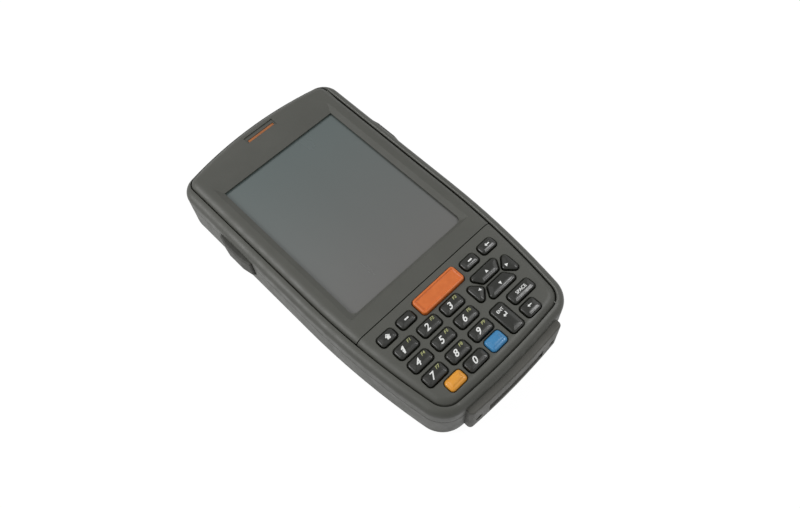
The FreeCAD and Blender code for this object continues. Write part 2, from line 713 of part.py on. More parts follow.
def build_rear_cover():
    """Build the rear housing with its battery bay, screw bosses and hinge blocks."""
    body = new_body("rear_cover_shell")
    outer = new_sketch(body, "outer", middle)
    add_outline(outer, body_outline)
    block = pad(body, outer, split_level)
    back_edges = edges_where(block, lambda edge: lies_level(edge, middle))
    rounded = round_edges(body, block, back_edges, size("back_edge_radius"), "back_edge")
    top_edges = edges_where(rounded, lambda edge: lies_level(edge, split_level))
    bevel_edges(body, rounded, top_edges, size("parting_chamfer"), "parting")

    inner = new_sketch(body, "inner", split_level)
    add_outline(inner, inset_outline(body_outline, size("wall").value))
    pocket(body, inner, split_level - size("floor_thickness"))

    bay = new_sketch(body, "bay_block", middle)
    add_rectangle(bay, bay_left - size("bay_wall"), bay_right + size("bay_wall"),
                  bay_low - size("bay_wall"), bay_high + size("bay_wall"))
    pad(body, bay, bay_top)
    hinge_top = size("hinge_level") + hinge_clear + size("bay_wall")
    for number, hinge_x in enumerate(hinge_middles):
        hinge_block = new_sketch(body, f"hinge_block_{number}", middle)
        reach = hinge_half + size("door_gap") + size("hinge_block")
        add_rectangle(hinge_block, hinge_x - reach, hinge_x + reach,
                      hinge_y - hinge_clear - size("bay_wall"), bay_low)
        pad(body, hinge_block, hinge_top)
    bosses = new_sketch(body, "bosses", size("floor_thickness"))
    for x, y in screw_places():
        add_circle(bosses, x, y, size("boss_radius"))
    pad(body, bosses, boss_joint - size("floor_thickness"))
    posts = new_sketch(body, "board_posts", bay_top)
    for x in (bay_left + size("post_inset"), bay_right - size("post_inset")):
        for y in (bay_low + size("post_inset"), bay_high - size("post_inset")):
            add_circle(posts, x, y, size("post_radius"))
    pad(body, posts, board_bottom - bay_top)
    for name, rib_end in (("upper_rib", tube_top), ("lower_rib", bay_low)):
        rib = new_sketch(body, name, size("floor_thickness"))
        add_rectangle(rib, size("stylus_x") - tube_radius, size("stylus_x") + tube_radius,
                      rib_end - size("rib_thickness") * 2, rib_end - size("rib_thickness"))
        pad(body, rib, size("stylus_level") - size("floor_thickness"))

    bay_room = new_sketch(body, "bay_room", middle)
    add_rectangle(bay_room, bay_left, bay_right, bay_low, bay_high)
    pocket(body, bay_room, bay_ceiling, up=True)
    door_seat = new_sketch(body, "door_seat", middle)
    add_rectangle(door_seat, recess_left, recess_right, recess_low, recess_high)
    pocket(body, door_seat, bay_floor, up=True)
    wells = new_sketch(body, "hinge_wells", middle)
    for hinge_x in hinge_middles:
        reach = hinge_half + size("door_gap")
        add_rectangle(wells, hinge_x - reach, hinge_x + reach, hinge_y - hinge_clear, door_low)
    pocket(body, wells, size("hinge_level") + hinge_clear, up=True)
    notch = new_sketch(body, "finger_notch", middle)
    add_circle(notch, battery_x, recess_high - size("door_lap") * 2, size("notch_radius"))
    pocket(body, notch, size("notch_depth"), up=True)

    shanks = new_sketch(body, "screw_holes", boss_joint)
    heads = new_sketch(body, "screw_heads", middle)
    for x, y in screw_places():
        add_circle(shanks, x, y, size("screw_radius") + size("screw_play"))
        add_circle(heads, x, y, size("screw_head_radius") + size("screw_play"))
    pocket(body, shanks, boss_joint + size("wall"))
    pocket(body, heads, size("screw_head_sink") + size("screw_head_height"), up=True)

    seal = new_sketch(body, "seal_groove", split_level)
    add_outline(seal, inset_outline(body_outline, size("seal_inset").value))
    add_outline(seal, inset_outline(body_outline, (size("seal_inset") + size("seal_width")).value))
    pocket(body, seal, size("seal_height"))
    buttons = new_sketch(body, "button_windows", split_level)
    for side in (-1, 1):
        button_window(buttons, side, size("assembly_gap"))
    pocket(body, buttons, split_level - size("side_button_low") + size("assembly_gap"))

    grille = new_sketch(body, "speaker_holes", middle)
    for step_x, step_y in grille_places():
        add_circle(grille, size("grille_pitch") * step_x - size("speaker_x"),
                   speaker_y + size("grille_pitch") * step_y, size("grille_hole_radius"))
    pocket(body, grille, size("floor_thickness"), up=True)
    document.recompute()

    tools = [
        box("window_opening", -(size("window_width") / 2 - size("window_lap")),
            size("window_width") / 2 - size("window_lap"), engine_front, top_y + size("wall"),
            window_bottom + size("window_lap"),
            window_bottom + size("window_height") - size("window_lap")),
        box("window_seat", -(size("window_width") / 2 + size("assembly_gap") / 2),
            size("window_width") / 2 + size("assembly_gap") / 2, engine_front - size("wall"),
            top_y - size("window_seat"), window_bottom - size("assembly_gap") / 2,
            split_level - size("split_rise") / 2),
        cylinder("stylus_hole", size("stylus_x"), tube_top - size("tube_wall"),
                 size("stylus_level"), size("stylus_radius") + size("stylus_play"),
                 size("tube_inset") * 2, along_y=True),
        cylinder("tube_saddle", size("stylus_x"), tube_low, size("stylus_level"), tube_radius,
                 tube_top - tube_low, along_y=True),
        box("port_opening", -(port_half + size("assembly_gap") / 2),
            port_half + size("assembly_gap") / 2, housing_bottom - size("wall"),
            housing_bottom + size("wall") * 2, port_bottom - size("assembly_gap") / 2,
            port_bottom + size("port_height") + size("assembly_gap") / 2),
        box("contact_window", battery_x - size("contact_width") / 2,
            battery_x + size("contact_width") / 2, bay_high - size("wall"),
            bay_high + size("bay_wall") + size("wall") / 2,
            size("floor_thickness") + size("blade_level") - size("blade_thickness"),
            size("floor_thickness") + size("blade_level") + size("blade_thickness") * 2),
    ]
    for number, hinge_x in enumerate(hinge_middles):
        reach = hinge_half + size("door_gap") + size("hinge_block")
        tools.append(across_bar(f"pin_hole_{number}", hinge_x - reach, hinge_x + reach, hinge_y,
                                size("hinge_level"), size("pin_radius")))
    return keep(cut("rear_cover", body, tools))


def build_front_cover():
    """Build the ring of the front housing: wall, rim, ledge and screw bosses."""
    body = new_body("front_cover")
    outer = new_sketch(body, "outer", split_level)
    add_outline(outer, body_outline)
    block = pad(body, outer, rim_level - split_level)
    rim_edges = edges_where(block, lambda edge: lies_level(edge, rim_level))
    rounded = round_edges(body, block, rim_edges, size("shoulder_radius"), "shoulder")
    low_edges = edges_where(rounded, lambda edge: lies_level(edge, split_level))
    bevel_edges(body, rounded, low_edges, size("parting_chamfer"), "parting")

    face_room = new_sketch(body, "face_room", rim_level)
    add_outline(face_room, panel_outline)
    pocket(body, face_room, rim_level - ledge_top)
    opening = new_sketch(body, "opening", ledge_top)
    add_outline(opening, inset_outline(panel_outline, size("ledge_width").value))
    pocket(body, opening, ledge_top - frame_top)
    inner = new_sketch(body, "inner", split_level)
    add_outline(inner, inset_outline(body_outline, size("wall").value))
    pocket(body, inner, frame_top - split_level, up=True)

    bosses = new_sketch(body, "bosses", boss_joint)
    inserts = new_sketch(body, "insert_holes", boss_joint)
    shanks = new_sketch(body, "screw_ends", boss_joint)
    for x, y in screw_places():
        add_circle(bosses, x, y, size("boss_radius"))
        add_circle(inserts, x, y, size("insert_radius"))
        add_circle(shanks, x, y, size("screw_radius") + size("screw_play"))
    pad(body, bosses, frame_top - boss_joint)
    pocket(body, inserts, size("insert_length"), up=True)
    pocket(body, shanks, size("insert_length") + size("screw_head_height") / 2, up=True)
    buttons = new_sketch(body, "button_windows", split_level)
    for side in (-1, 1):
        button_window(buttons, side, size("assembly_gap"))
    pocket(body, buttons, side_button_top + size("assembly_gap") - split_level, up=True)
    return keep(body)


def screen_frame(sketch, growth):
    """Draw the screen's rectangle, grown by the given width all round."""
    add_rectangle(sketch, -(screen_half + growth), screen_half + growth, screen_bottom - growth,
                  screen_top + growth)


def build_screen_slope():
    """Build the wedge that cuts the sloping frame round the screen."""
    slope = document.addObject("Part::Wedge", "screen_slope")
    turn = FreeCAD.Rotation(FreeCAD.Vector(1, 0, 0), 90)
    slope.Placement = FreeCAD.Placement(FreeCAD.Vector(0, 0, 0), turn)
    reach = 2
    widest = screen_half + size("slope_side") * reach
    sides = (("Ymin", slope_foot), ("Ymax", slope_foot + size("slope_depth") * reach),
             ("Xmin", -screen_half), ("Xmax", screen_half), ("X2min", -widest), ("X2max", widest),
             ("Zmin", -screen_top), ("Zmax", -screen_bottom),
             ("Z2min", -(screen_top + size("slope_top") * reach)),
             ("Z2max", size("slope_bottom") * reach - screen_bottom))
    for side, length in sides:
        bind(slope, side, length)
    return slope


def build_display_bezel():
    """Build the upper face part: crest, sloping frame, screen opening and indicator slot."""
    body = new_body("bezel_plate")
    outer = new_sketch(body, "outer", ledge_top)
    add_outline(outer, inset_outline(panel_outline, size("seam_gap").value))
    block = pad(body, outer, face_level - ledge_top)
    edges = edges_where(block, lambda edge: lies_level(edge, face_level))
    round_edges(body, block, edges, size("crest_radius"), "crest")
    below_groove = new_sketch(body, "below_groove", face_level)
    add_rectangle(below_groove, -half_width, half_width, housing_bottom,
                  groove_y + size("groove_gap") / 2)
    pocket(body, below_groove, face_level - ledge_top)

    opening = new_sketch(body, "screen_opening", face_level)
    screen_frame(opening, middle)
    opened = pocket(body, opening, face_level - ledge_top)

    def lower_corner(edge):
        at_side = abs(abs(edge.BoundBox.XMin) - screen_half.value) < NEAR
        at_foot = abs(edge.BoundBox.YMin - screen_bottom.value) < NEAR
        return stands_upright(edge) and at_side and at_foot
    corners = edges_where(opened, lower_corner)
    round_edges(body, opened, corners, size("screen_corner"), "screen_corners")
    modules = new_sketch(body, "display_room", ledge_top)
    screen_frame(modules, size("display_border") + size("assembly_gap"))
    pocket(body, modules, lip_bottom - ledge_top, up=True)

    half_window = size("indicator_width") / 2
    half_depth = size("indicator_depth") / 2
    recess = new_sketch(body, "indicator_recess", face_level)
    add_rectangle(recess, size("indicator_x") - half_window - half_depth,
                  size("indicator_x") + half_window + half_depth,
                  indicator_y - half_depth * 2, indicator_y + size("recess_rise"))
    pocket(body, recess, size("recess_depth"))
    slot = new_sketch(body, "indicator_slot", face_level)
    add_rectangle(slot, size("indicator_x") - half_window, size("indicator_x") + half_window,
                  indicator_y - half_depth, indicator_y + half_depth)
    pocket(body, slot, face_level - ledge_top)
    return keep(cut("display_bezel", body, [build_screen_slope()]))


class Key:
    """One key: its name, its plan corners, its height above the face and its flange."""

    def __init__(self, label, corners, proud, flange_side, flange_end):
        self.label = label
        self.corners = corners
        self.proud = proud
        self.flange_side = flange_side
        self.flange_end = flange_end


def grown(corners, side_gap, end_gap):
    """Return a convex polygon's corners moved out by one gap across and another along."""
    count = len(corners)
    moved = []
    for number, (x, y) in enumerate(corners):
        before = corners[number - 1]
        after = corners[(number + 1) % count]
        first = outward(before, (x, y))
        second = outward((x, y), after)
        turn = first[0] * second[1] - first[1] * second[0]
        step_x = (second[1] - first[1]) / turn
        step_y = (first[0] - second[0]) / turn
        moved.append((x + side_gap * step_x, y + end_gap * step_y))
    return moved


def outward(start, end):
    """Return the unit direction that points out of an anticlockwise polygon's side."""
    run_x = end[0].value - start[0].value
    run_y = end[1].value - start[1].value
    run = math.hypot(run_x, run_y)
    return run_y / run, -run_x / run


def block_key(label, x, y, width, depth, proud=None):
    """Describe a four-cornered key."""
    x, y = as_size(x), as_size(y)
    corners = [(x - width / 2, y - depth / 2), (x + width / 2, y - depth / 2),
               (x + width / 2, y + depth / 2), (x - width / 2, y + depth / 2)]
    return Key(label, corners, proud or size("key_proud"), size("key_flange_side"), middle)


def arrow_key(label, offsets):
    """Describe one of the arrow keys from corners about the middle of the cluster."""
    nav_y = groove_y - size("nav_drop")
    corners = [(size("nav_x") + x, nav_y + y) for x, y in offsets]
    return Key(label, corners, size("key_proud"), size("arrow_flange"), size("arrow_flange"))


def list_keys():
    """Return every key of the keypad, row by row."""
    top_row = groove_y - size("top_row_drop")
    small = (size("small_width"), size("small_depth"))
    last_row = groove_y - size("last_row_drop")
    keys = [
        block_key("key_home", -size("home_x"), top_row, *small),
        block_key("key_dash_left", -size("dash_x"), top_row, *small),
        block_key("key_scan", middle, top_row, size("scan_width"), size("scan_depth"),
                  size("scan_proud")),
        block_key("key_dash_right", size("dash_x"), top_row, *small),
        block_key("key_back", size("home_x"), top_row, *small),
    ]
    for digit in range(1, 10):
        line_number, column = divmod(digit - 1, 3)
        x = size("column_pitch") * column - size("column_start")
        y = groove_y - size("digit_drop") - size("row_pitch") * line_number
        keys.append(block_key(f"key_{digit}", x, y, size("digit_width"), size("digit_depth")))
    keys += [
        block_key("key_amber", -size("amber_x"), last_row, size("amber_width"),
                  size("amber_depth")),
        block_key("key_0", -size("zero_x"), last_row, size("digit_width"), size("zero_depth")),
        block_key("key_blue", size("blue_x"), last_row, size("blue_width"), size("blue_depth")),
        block_key("key_enter", size("enter_x"), groove_y - size("enter_drop"),
                  size("enter_width"), size("enter_depth")),
        block_key("key_space", size("space_x"), groove_y - size("space_drop"),
                  size("space_width"), size("space_depth")),
        block_key("key_erase", size("erase_x"), groove_y - size("erase_drop"),
                  size("erase_width"), size("erase_depth")),
    ]
    reach, tip, half = size("side_arrow_reach"), size("side_arrow_tip"), size("side_arrow_half")
    outer, inner = size("tall_arrow_outer"), size("tall_arrow_inner")
    wide, narrow = size("tall_arrow_wide"), size("tall_arrow_narrow")
    keys += [
        arrow_key("key_left", [(-reach, -half), (-tip, middle), (-reach, half)]),
        arrow_key("key_right", [(reach, half), (tip, middle), (reach, -half)]),
        arrow_key("key_up", [(-narrow, inner), (narrow, inner), (wide, outer), (-wide, outer)]),
        arrow_key("key_down", [(-wide, -outer), (wide, -outer), (narrow, -inner),
                               (-narrow, -inner)]),
    ]
    return keys


def build_keypad_bezel(keys):
    """Build the lower face part with a skirt under its edge and an opening for each key."""
    body = new_body("keypad_plate")
    outer = new_sketch(body, "outer", ledge_top)
    add_outline(outer, inset_outline(panel_outline, size("seam_gap").value))
    block = pad(body, outer, face_level - ledge_top)
    edges = edges_where(block, lambda edge: lies_level(edge, face_level))
    round_edges(body, block, edges, size("crest_radius"), "crest")
    above_groove = new_sketch(body, "above_groove", face_level)
    add_rectangle(above_groove, -half_width, half_width, groove_y - size("groove_gap") / 2, top_y)
    pocket(body, above_groove, face_level - ledge_top)

    room = new_sketch(body, "key_room", ledge_top)
    add_outline(room, inset_outline(panel_outline, (size("seam_gap") + size("skirt")).value))
    pocket(body, room, plate_bottom - ledge_top, up=True)
    wall = new_sketch(body, "groove_wall", ledge_top)
    skirt_reach = panel_outline.half_width_at(groove_y.value) - size("skirt").value
    add_rectangle(wall, as_size(-skirt_reach), as_size(skirt_reach),
                  groove_y - size("groove_gap") / 2 - size("skirt"),
                  groove_y - size("groove_gap") / 2)
    pad(body, wall, plate_bottom - ledge_top)
    return keep(cut("keypad_bezel", body, [build_key_well(key) for key in keys]))


def rounded_polygon(corners, radius):
    """Return the lines and corner arcs of a convex anticlockwise polygon."""
    count = len(corners)
    centres = grown(corners, -radius, -radius)
    curves = []
    for number in range(count):
        start, end = corners[number], corners[(number + 1) % count]
        normal = outward(start, end)
        after = outward(end, corners[(number + 2) % count])
        first, last = centres[number], centres[(number + 1) % count]
        reach = radius.value
        offset = (normal[0] * reach, normal[1] * reach)
        curves.append(line((first[0].value + offset[0], first[1].value + offset[1]),
                           (last[0].value + offset[0], last[1].value + offset[1])))
        curves.append(arc((last[0].value, last[1].value), reach,
                          math.atan2(normal[1], normal[0]), math.atan2(after[1], after[0])))
    return curves


def well_sketch(body, key, name, level, growth):
    """Draw a key's opening, grown by a gap that also widens its corners."""
    sketch = new_sketch(body, name, level)
    corners = grown(key.corners, growth, growth)
    for curve in rounded_polygon(corners, size("key_corner") + growth):
        sketch.addGeometry(curve, False)
    return sketch


def build_key_well(key):
    """Build the shape of the opening that one key moves in, with its bevelled mouth."""
    body = new_body(f"{key.label}_well")
    gap, bevel = size("key_gap"), size("web_bevel")
    straight = well_sketch(body, key, "straight", plate_bottom - gap, gap)
    pad(body, straight, size("plate_thickness") + gap * 2)
    mouth = body.newObject("PartDesign::AdditiveLoft", f"{key.label}_mouth")
    mouth.Profile = well_sketch(body, key, "mouth_foot", face_level - bevel, gap)
    mouth.Sections = [well_sketch(body, key, "mouth_head", face_level + bevel, gap + bevel * 2)]
    mouth.Ruled = True
    return body


def build_key_cap(key):
    """Build one key cap with the flange that keeps it under the keypad bezel."""
    body = new_body(key.label)
    cap = new_sketch(body, "cap", flange_bottom)
    add_polygon(cap, key.corners)
    cap_top = face_level + key.proud
    block = pad(body, cap, cap_top - flange_bottom)
    sides = round_edges(body, block, edges_where(block, stands_upright), size("key_corner"),
                        "corners")
    rim = edges_where(sides, lambda edge: lies_level(edge, cap_top))
    round_edges(body, sides, rim, size("key_crown"), "crown")
    if key.flange_end is middle:
        flange = new_sketch(body, "flange", flange_bottom)
        add_polygon(flange, grown(key.corners, key.flange_side, key.flange_end))
    else:
        flange = well_sketch(body, key, "flange", flange_bottom, key.flange_side)
    pad(body, flange, size("key_flange"))
    return keep(body)


def build_side_button(side):
    """Build one side button: a pad that bends outwards, and the flange that traps it."""
    label = "left_side_button" if side < 0 else "right_side_button"
    body = new_body(label)
    half = button_side(side) / 2
    back = (half_width - size("wall") - size("assembly_gap")) * side
    end = (half_width + size("side_button_proud") - size("side_button_bend")) * side
    crown = (half_width + size("side_button_proud")) * side
    pad_sketch = new_sketch(body, "pad", size("side_button_low"))
    crown_half = half * 0.45
    corners = [(back, side_button_y - half), (end, side_button_y - half),
               (crown, side_button_y - crown_half), (crown, side_button_y + crown_half),
               (end, side_button_y + half), (back, side_button_y + half)]
    if side < 0:
        corners.reverse()
    add_polygon(pad_sketch, corners)
    block = pad(body, pad_sketch, size("side_button_height"))

    def outer_upright(edge):
        return stands_upright(edge) and abs(edge.BoundBox.XMin) > abs(end.value) - NEAR
    softened = round_edges(body, block, edges_where(block, outer_upright),
                           size("side_button_bend"), "ends")

    def outer_rim(edge):
        beyond_wall = min(abs(edge.BoundBox.XMin), abs(edge.BoundBox.XMax)) > half_width.value
        return not stands_upright(edge) and beyond_wall
    round_edges(body, softened, edges_where(softened, outer_rim),
                size("side_button_bend") * 0.8, "rim")
    flange = new_sketch(body, "flange", size("side_button_low") - size("side_button_flange"))
    inner = back - size("side_button_flange") * side
    left, right = (back, inner) if side < 0 else (inner, back)
    add_rectangle(flange, left, right, side_button_y - half - size("side_button_flange"),
                  side_button_y + half + size("side_button_flange"))
    pad(body, flange, size("side_button_height") + size("side_button_flange"))
    return keep(body)


def build_display():
    """Build the display module, the touch panel and the gasket on it."""
    border = size("display_border")
    left, right = -(screen_half + border), screen_half + border
    low, high = screen_bottom - border, screen_top + border
    keep(box("lcd_module", left, right, low, high, frame_top, display_top))
    keep(box("touch_panel", left, right, low, high, display_top, touch_top))
    inner = size("gasket_width")
    ring = box("gasket_sheet", left, right, low, high, touch_top, lip_bottom)
    hole = box("gasket_hole", left + inner, right - inner, low + inner, high - inner,
               touch_top, lip_bottom)
    keep(cut("touch_gasket", ring, [hole]))


def outline_plate(label, base, inset, bottom, thickness, cutters):
    """Build a flat plate that follows the body, with holes drawn by the cutter functions."""
    body = new_body(label)
    sketch = new_sketch(body, "plate", bottom)
    add_outline(sketch, inset_outline(base, inset.value))
    pad(body, sketch, thickness)
    for number, cutter in enumerate(cutters):
        hole = new_sketch(body, f"cut_{number}", bottom)
        cutter(hole)
        pocket(body, hole, thickness, up=True)
    return keep(body)


def boss_clearances(sketch):
    """Draw the notches that let a plate pass the screw bosses."""
    for x, y in screw_places():
        add_circle(sketch, x, y, size("boss_radius") + size("assembly_gap"))


def indicator_slot(sketch):
    """Draw the slot that holds the light pipe."""
    add_rectangle(sketch, *pipe_sides())


def pipe_sides():
    """Return the left, right, lower and upper side of the light pipe."""
    half_width_of_pipe = size("indicator_width") / 2 - size("seam_gap")
    half_depth = size("indicator_depth") / 2 - size("seam_gap")
    return (size("indicator_x") - half_width_of_pipe, size("indicator_x") + half_width_of_pipe,
            indicator_y - half_depth, indicator_y + half_depth)


def above_groove_clearance(sketch):
    """Draw the part of a keypad layer that lies under the display, which is left out."""
    limit = groove_y - size("groove_gap") / 2 - size("skirt") - size("assembly_gap")
    add_rectangle(sketch, -half_width, half_width, limit, top_y + size("wall"))


def build_boards():
    """Build the plates that follow the body's outline, from the main board to the key mat."""
    outline_plate("main_board", body_outline, size("board_inset"), board_bottom,
                  size("board_thickness"), [])
    outline_plate("mid_frame", body_outline, size("frame_inset"), frame_bottom,
                  size("frame_thickness"), [boss_clearances, indicator_slot])
    layer_inset = size("seam_gap") + size("skirt") + size("ledge_width")
    outline_plate("keypad_board", panel_outline, layer_inset, frame_top,
                  size("keypad_board_thickness"), [above_groove_clearance])
    outline_plate("keypad_mat", panel_outline, layer_inset, keypad_board_top,
                  size("mat_thickness"), [above_groove_clearance])


def build_housing_seal():
    """Build the cord seal that lies in the parting line, open where the side buttons pass."""
    body = new_body("housing_seal")
    body.AllowCompound = True
    sketch = new_sketch(body, "ring", split_level - size("seal_height"))
    add_outline(sketch, inset_outline(body_outline, size("seal_inset").value))
    add_outline(sketch, inset_outline(body_outline,
                                      (size("seal_inset") + size("seal_width")).value))
    pad(body, sketch, size("seal_height"))
    gaps = new_sketch(body, "gaps", split_level)
    for side in (-1, 1):
        button_window(gaps, side, size("assembly_gap"))
    pocket(body, gaps, size("seal_height"))
    return keep(body)


def build_main_board_parts():
    """Build the pieces that are soldered to the main board or plugged into it."""
    keep(cylinder("backup_cell", size("cell_x"), groove_y + size("cell_rise"), board_top,
                  size("cell_radius"), size("cell_height")))
    cans = []
    for number, step in enumerate((-0.5, 0.5)):
        can_y = battery_y + size("can_spacing") * step
        cans.append(block_at(f"shield_can_{number}", -size("can_x"), can_y, size("can_width"),
                             size("can_length"), board_top, board_top + size("can_height")))
    keep(grouped("shield_cans", cans))
    radio_y = top_y - size("radio_drop")
    keep(block_at("radio_module", size("radio_x"), radio_y, size("radio_width"),
                  size("radio_length"), board_top, board_top + size("radio_height")))
    keep(block_at("card_socket", size("socket_x"), radio_y, size("socket_width"),
                  size("socket_length"), board_bottom - size("socket_height"), board_bottom))
    keep(cylinder("microphone", size("microphone_x"), screw_rows[2],
                  board_bottom - size("microphone_height"), size("microphone_radius"),
                  size("microphone_height")))
    chip = size("indicator_chip")
    keep(block_at("status_led", size("indicator_x"), indicator_y - chip, chip * 2, chip,
                  board_top, board_top + chip))
    switch_x = (half_width - size("wall") - size("side_button_flange")
                - size("side_button_travel") - size("assembly_gap") * 2
                - size("switch_depth") / 2)
    switches = [block_at(f"side_switch_{side + 1}", switch_x * side, side_button_y,
                         size("switch_depth"), size("switch_length"), board_top,
                         board_top + size("switch_height")) for side in (-1, 1)]
    keep(grouped("side_switches", switches))


def build_light_pipe():
    """Build the clear bar that carries the indicator's light up to the face."""
    led_level = board_top + size("indicator_chip") + size("assembly_gap")
    top = face_level - size("recess_depth") - size("seam_gap")
    keep(box("light_pipe", *pipe_sides(), led_level, top))


def build_scan_head():
    """Build the scan engine, the tray under it and the pane in front of it."""
    half = size("engine_width") / 2
    play = size("seam_gap")
    block = box("tray_block", -(half + size("tray_wall")), half + size("tray_wall"),
                engine_back, engine_front - size("tray_wall"), size("floor_thickness"),
                size("floor_thickness") + size("tray_height"))
    room = box("tray_room", -(half + play), half + play, engine_back - size("wall"),
               engine_front, engine_bottom, size("floor_thickness") + size("tray_height") * 2)
    keep(cut("scan_bracket", block, [room]))
    keep(box("scan_engine", -half, half, engine_back, engine_front, engine_bottom,
             engine_bottom + size("engine_height")))
    keep(box("scan_window", -size("window_width") / 2, size("window_width") / 2, engine_front,
             engine_front + size("window_thickness"), window_bottom,
             window_bottom + size("window_height")))


def build_sound():
    """Build the speaker over its grille."""
    keep(cylinder("speaker", -size("speaker_x"), speaker_y, size("floor_thickness"),
                  size("speaker_radius"), size("speaker_height")))


def build_battery():
    """Build the battery pack and the contact block that stands against its bay."""
    keep(box("battery_pack", battery_left, battery_right, battery_low, battery_high, bay_floor,
             bay_floor + size("battery_thickness")))
    half = size("contact_width") / 2
    wall_outside = bay_high + size("bay_wall")
    pieces = [box("contact_block", battery_x - half, battery_x + half, wall_outside,
                  wall_outside + size("contact_depth"), board_bottom - size("contact_height"),
                  board_bottom)]
    count = int(size("blade_count").value)
    blade_level = size("floor_thickness") + size("blade_level")
    for number in range(count):
        blade_x = battery_x + size("contact_width") * ((number + 0.5) / count - 0.5)
        pieces.append(box(f"contact_blade_{number}", blade_x - size("blade_width") / 2,
                          blade_x + size("blade_width") / 2, battery_high,
                          wall_outside + size("contact_depth") / 2, blade_level,
                          blade_level + size("blade_thickness")))
    keep(fused("battery_contacts", pieces))


def build_battery_door():
    """Build the hinged lid of the battery bay and its two pins."""
    pieces = [box("door_plate", recess_left + size("door_gap"), recess_right - size("door_gap"),
                  door_low, recess_high - size("door_gap"), middle, size("door_thickness"))]
    holes = []
    pins = []
    for number, hinge_x in enumerate(hinge_middles):
        left, right = hinge_x - hinge_half, hinge_x + hinge_half
        pieces.append(box(f"door_arm_{number}", left, right, hinge_y, door_low + size("wall"),
                          middle, size("door_thickness")))
        pieces.append(across_bar(f"door_barrel_{number}", left, right, hinge_y,
                                 size("hinge_level"), size("hinge_radius")))
        holes.append(across_bar(f"door_bore_{number}", left - size("wall"),
                                right + size("wall"), hinge_y, size("hinge_level"),
                                size("pin_radius") + size("pin_play")))
        reach = hinge_half + size("door_gap") + size("hinge_block")
        pins.append(across_bar(f"hinge_pin_{number}", hinge_x - reach, hinge_x + reach, hinge_y,
                               size("hinge_level"), size("pin_radius")))
    keep(cut("battery_door", fused("door_with_barrels", pieces), holes))
    keep(grouped("door_hinge_pins", pins))


def build_dock():
    """Build the block on the bottom end, its guide holes and the connector behind it."""
    body = new_body("dock_block")
    sketch = new_sketch(body, "plan", size("dock_low"))
    half = size("dock_width").value / 2
    bow_radius = size("bottom_bow_radius").value
    bow = (0.0, body_outline.bottom + bow_radius)
    inner_radius = bow_radius
    outer_radius = bow_radius + size("dock_depth").value
    inner_angle = math.asin(half / inner_radius)
    outer_angle = math.asin(half / outer_radius)
    down = -math.pi / 2

    def on_bow(radius, angle):
        return (radius * math.sin(angle), bow[1] - radius * math.cos(angle))
    sketch.addGeometry(arc(bow, outer_radius, down - outer_angle, down + outer_angle), False)
    sketch.addGeometry(line(on_bow(outer_radius, outer_angle), on_bow(inner_radius, inner_angle)),
                       False)
    sketch.addGeometry(arc(bow, inner_radius, down - inner_angle, down + inner_angle), False)
    sketch.addGeometry(line(on_bow(inner_radius, -inner_angle),
                            on_bow(outer_radius, -outer_angle)), False)
    block = pad(body, sketch, size("dock_height"))
    outer_limit = housing_bottom.value - size("dock_depth").value / 2

    def outer_corner(edge):
        return stands_upright(edge) and edge.BoundBox.YMax < outer_limit
    rounded = round_edges(body, block, edges_where(block, outer_corner), size("dock_corner"),
                          "corners")

    def face_edge(edge):
        levels = (size("dock_low"), size("dock_low") + size("dock_height"))
        middle_point = edge.valueAt((edge.FirstParameter + edge.LastParameter) / 2)
        on_level = any(lies_level(edge, level) for level in levels)
        inner_distance = math.hypot(middle_point.x, middle_point.y - bow[1]) - inner_radius
        along_bow = edge.BoundBox.XLength > half
        return on_level and along_bow and inner_distance > NEAR * 10
    round_edges(body, rounded, edges_where(rounded, face_edge), size("dock_edge"), "face_edges")
    document.recompute()
    outside = housing_bottom - size("dock_depth") - size("wall")
    port = box("dock_window", -(port_half - size("port_shell")), port_half - size("port_shell"),
               outside, housing_bottom + size("wall"), port_bottom + size("port_shell"),
               port_bottom + size("port_height") - size("port_shell"))
    tools = [port]
    guide_level = port_bottom + size("port_height") / 2
    for side in (-1, 1):
        tools.append(cylinder(f"guide_hole_{side + 1}", size("guide_spread") * side, outside,
                              guide_level, size("guide_radius"), size("dock_depth") * 2,
                              along_y=True))
    keep(cut("dock_cover", body, tools))

    port_front = housing_bottom + size("port_inset")
    port_back = port_front + size("port_length")
    shell = box("port_shell_block", -port_half, port_half, port_front, port_back, port_bottom,
                port_bottom + size("port_height"))
    room = box("port_room", -(port_half - size("port_shell")), port_half - size("port_shell"),
               port_front - size("wall"), port_back - size("port_shell"),
               port_bottom + size("port_shell"),
               port_bottom + size("port_height") - size("port_shell"))
    keep(cut("dock_connector", shell, [room]))


def build_stylus():
    """Build the stylus, as a turned rod with a tapered tip and a head groove, and its tube."""
    body = new_body("stylus")
    radius = size("stylus_radius")
    body_sketch = new_sketch(body, "profile", middle)
    head_y, tip_y = stylus_head, stylus_tip_end
    groove_side = size("tube_wall")
    add_polygon(body_sketch, [
        (middle, tip_y), (radius * 0.4, tip_y), (radius, tip_y + size("stylus_tip")),
        (radius, head_y - groove_side * 3), (radius * 0.75, head_y - groove_side * 2.5),
        (radius * 0.75, head_y - groove_side * 2), (radius, head_y - groove_side * 1.5),
        (radius, head_y - groove_side / 2), (radius * 0.8, head_y), (middle, head_y)])
    turned = body.newObject("PartDesign::Revolution", "stylus_turned")
    turned.Profile = body_sketch
    turned.ReferenceAxis = (body_sketch, ["V_Axis"])
    turned.Angle = 360
    bind(body, "Placement.Base.x", size("stylus_x"))
    bind(body, "Placement.Base.z", size("stylus_level"))
    keep(body)

    outside = cylinder("tube_outside", size("stylus_x"), tube_low, size("stylus_level"),
                       tube_radius, tube_top - tube_low, along_y=True)
    inside = cylinder("tube_inside", size("stylus_x"), tube_low + size("stylus_tip") / 2,
                      size("stylus_level"), tube_radius - size("tube_wall"),
                      tube_top - tube_low, along_y=True)
    keep(cut("stylus_tube", outside, [inside]))


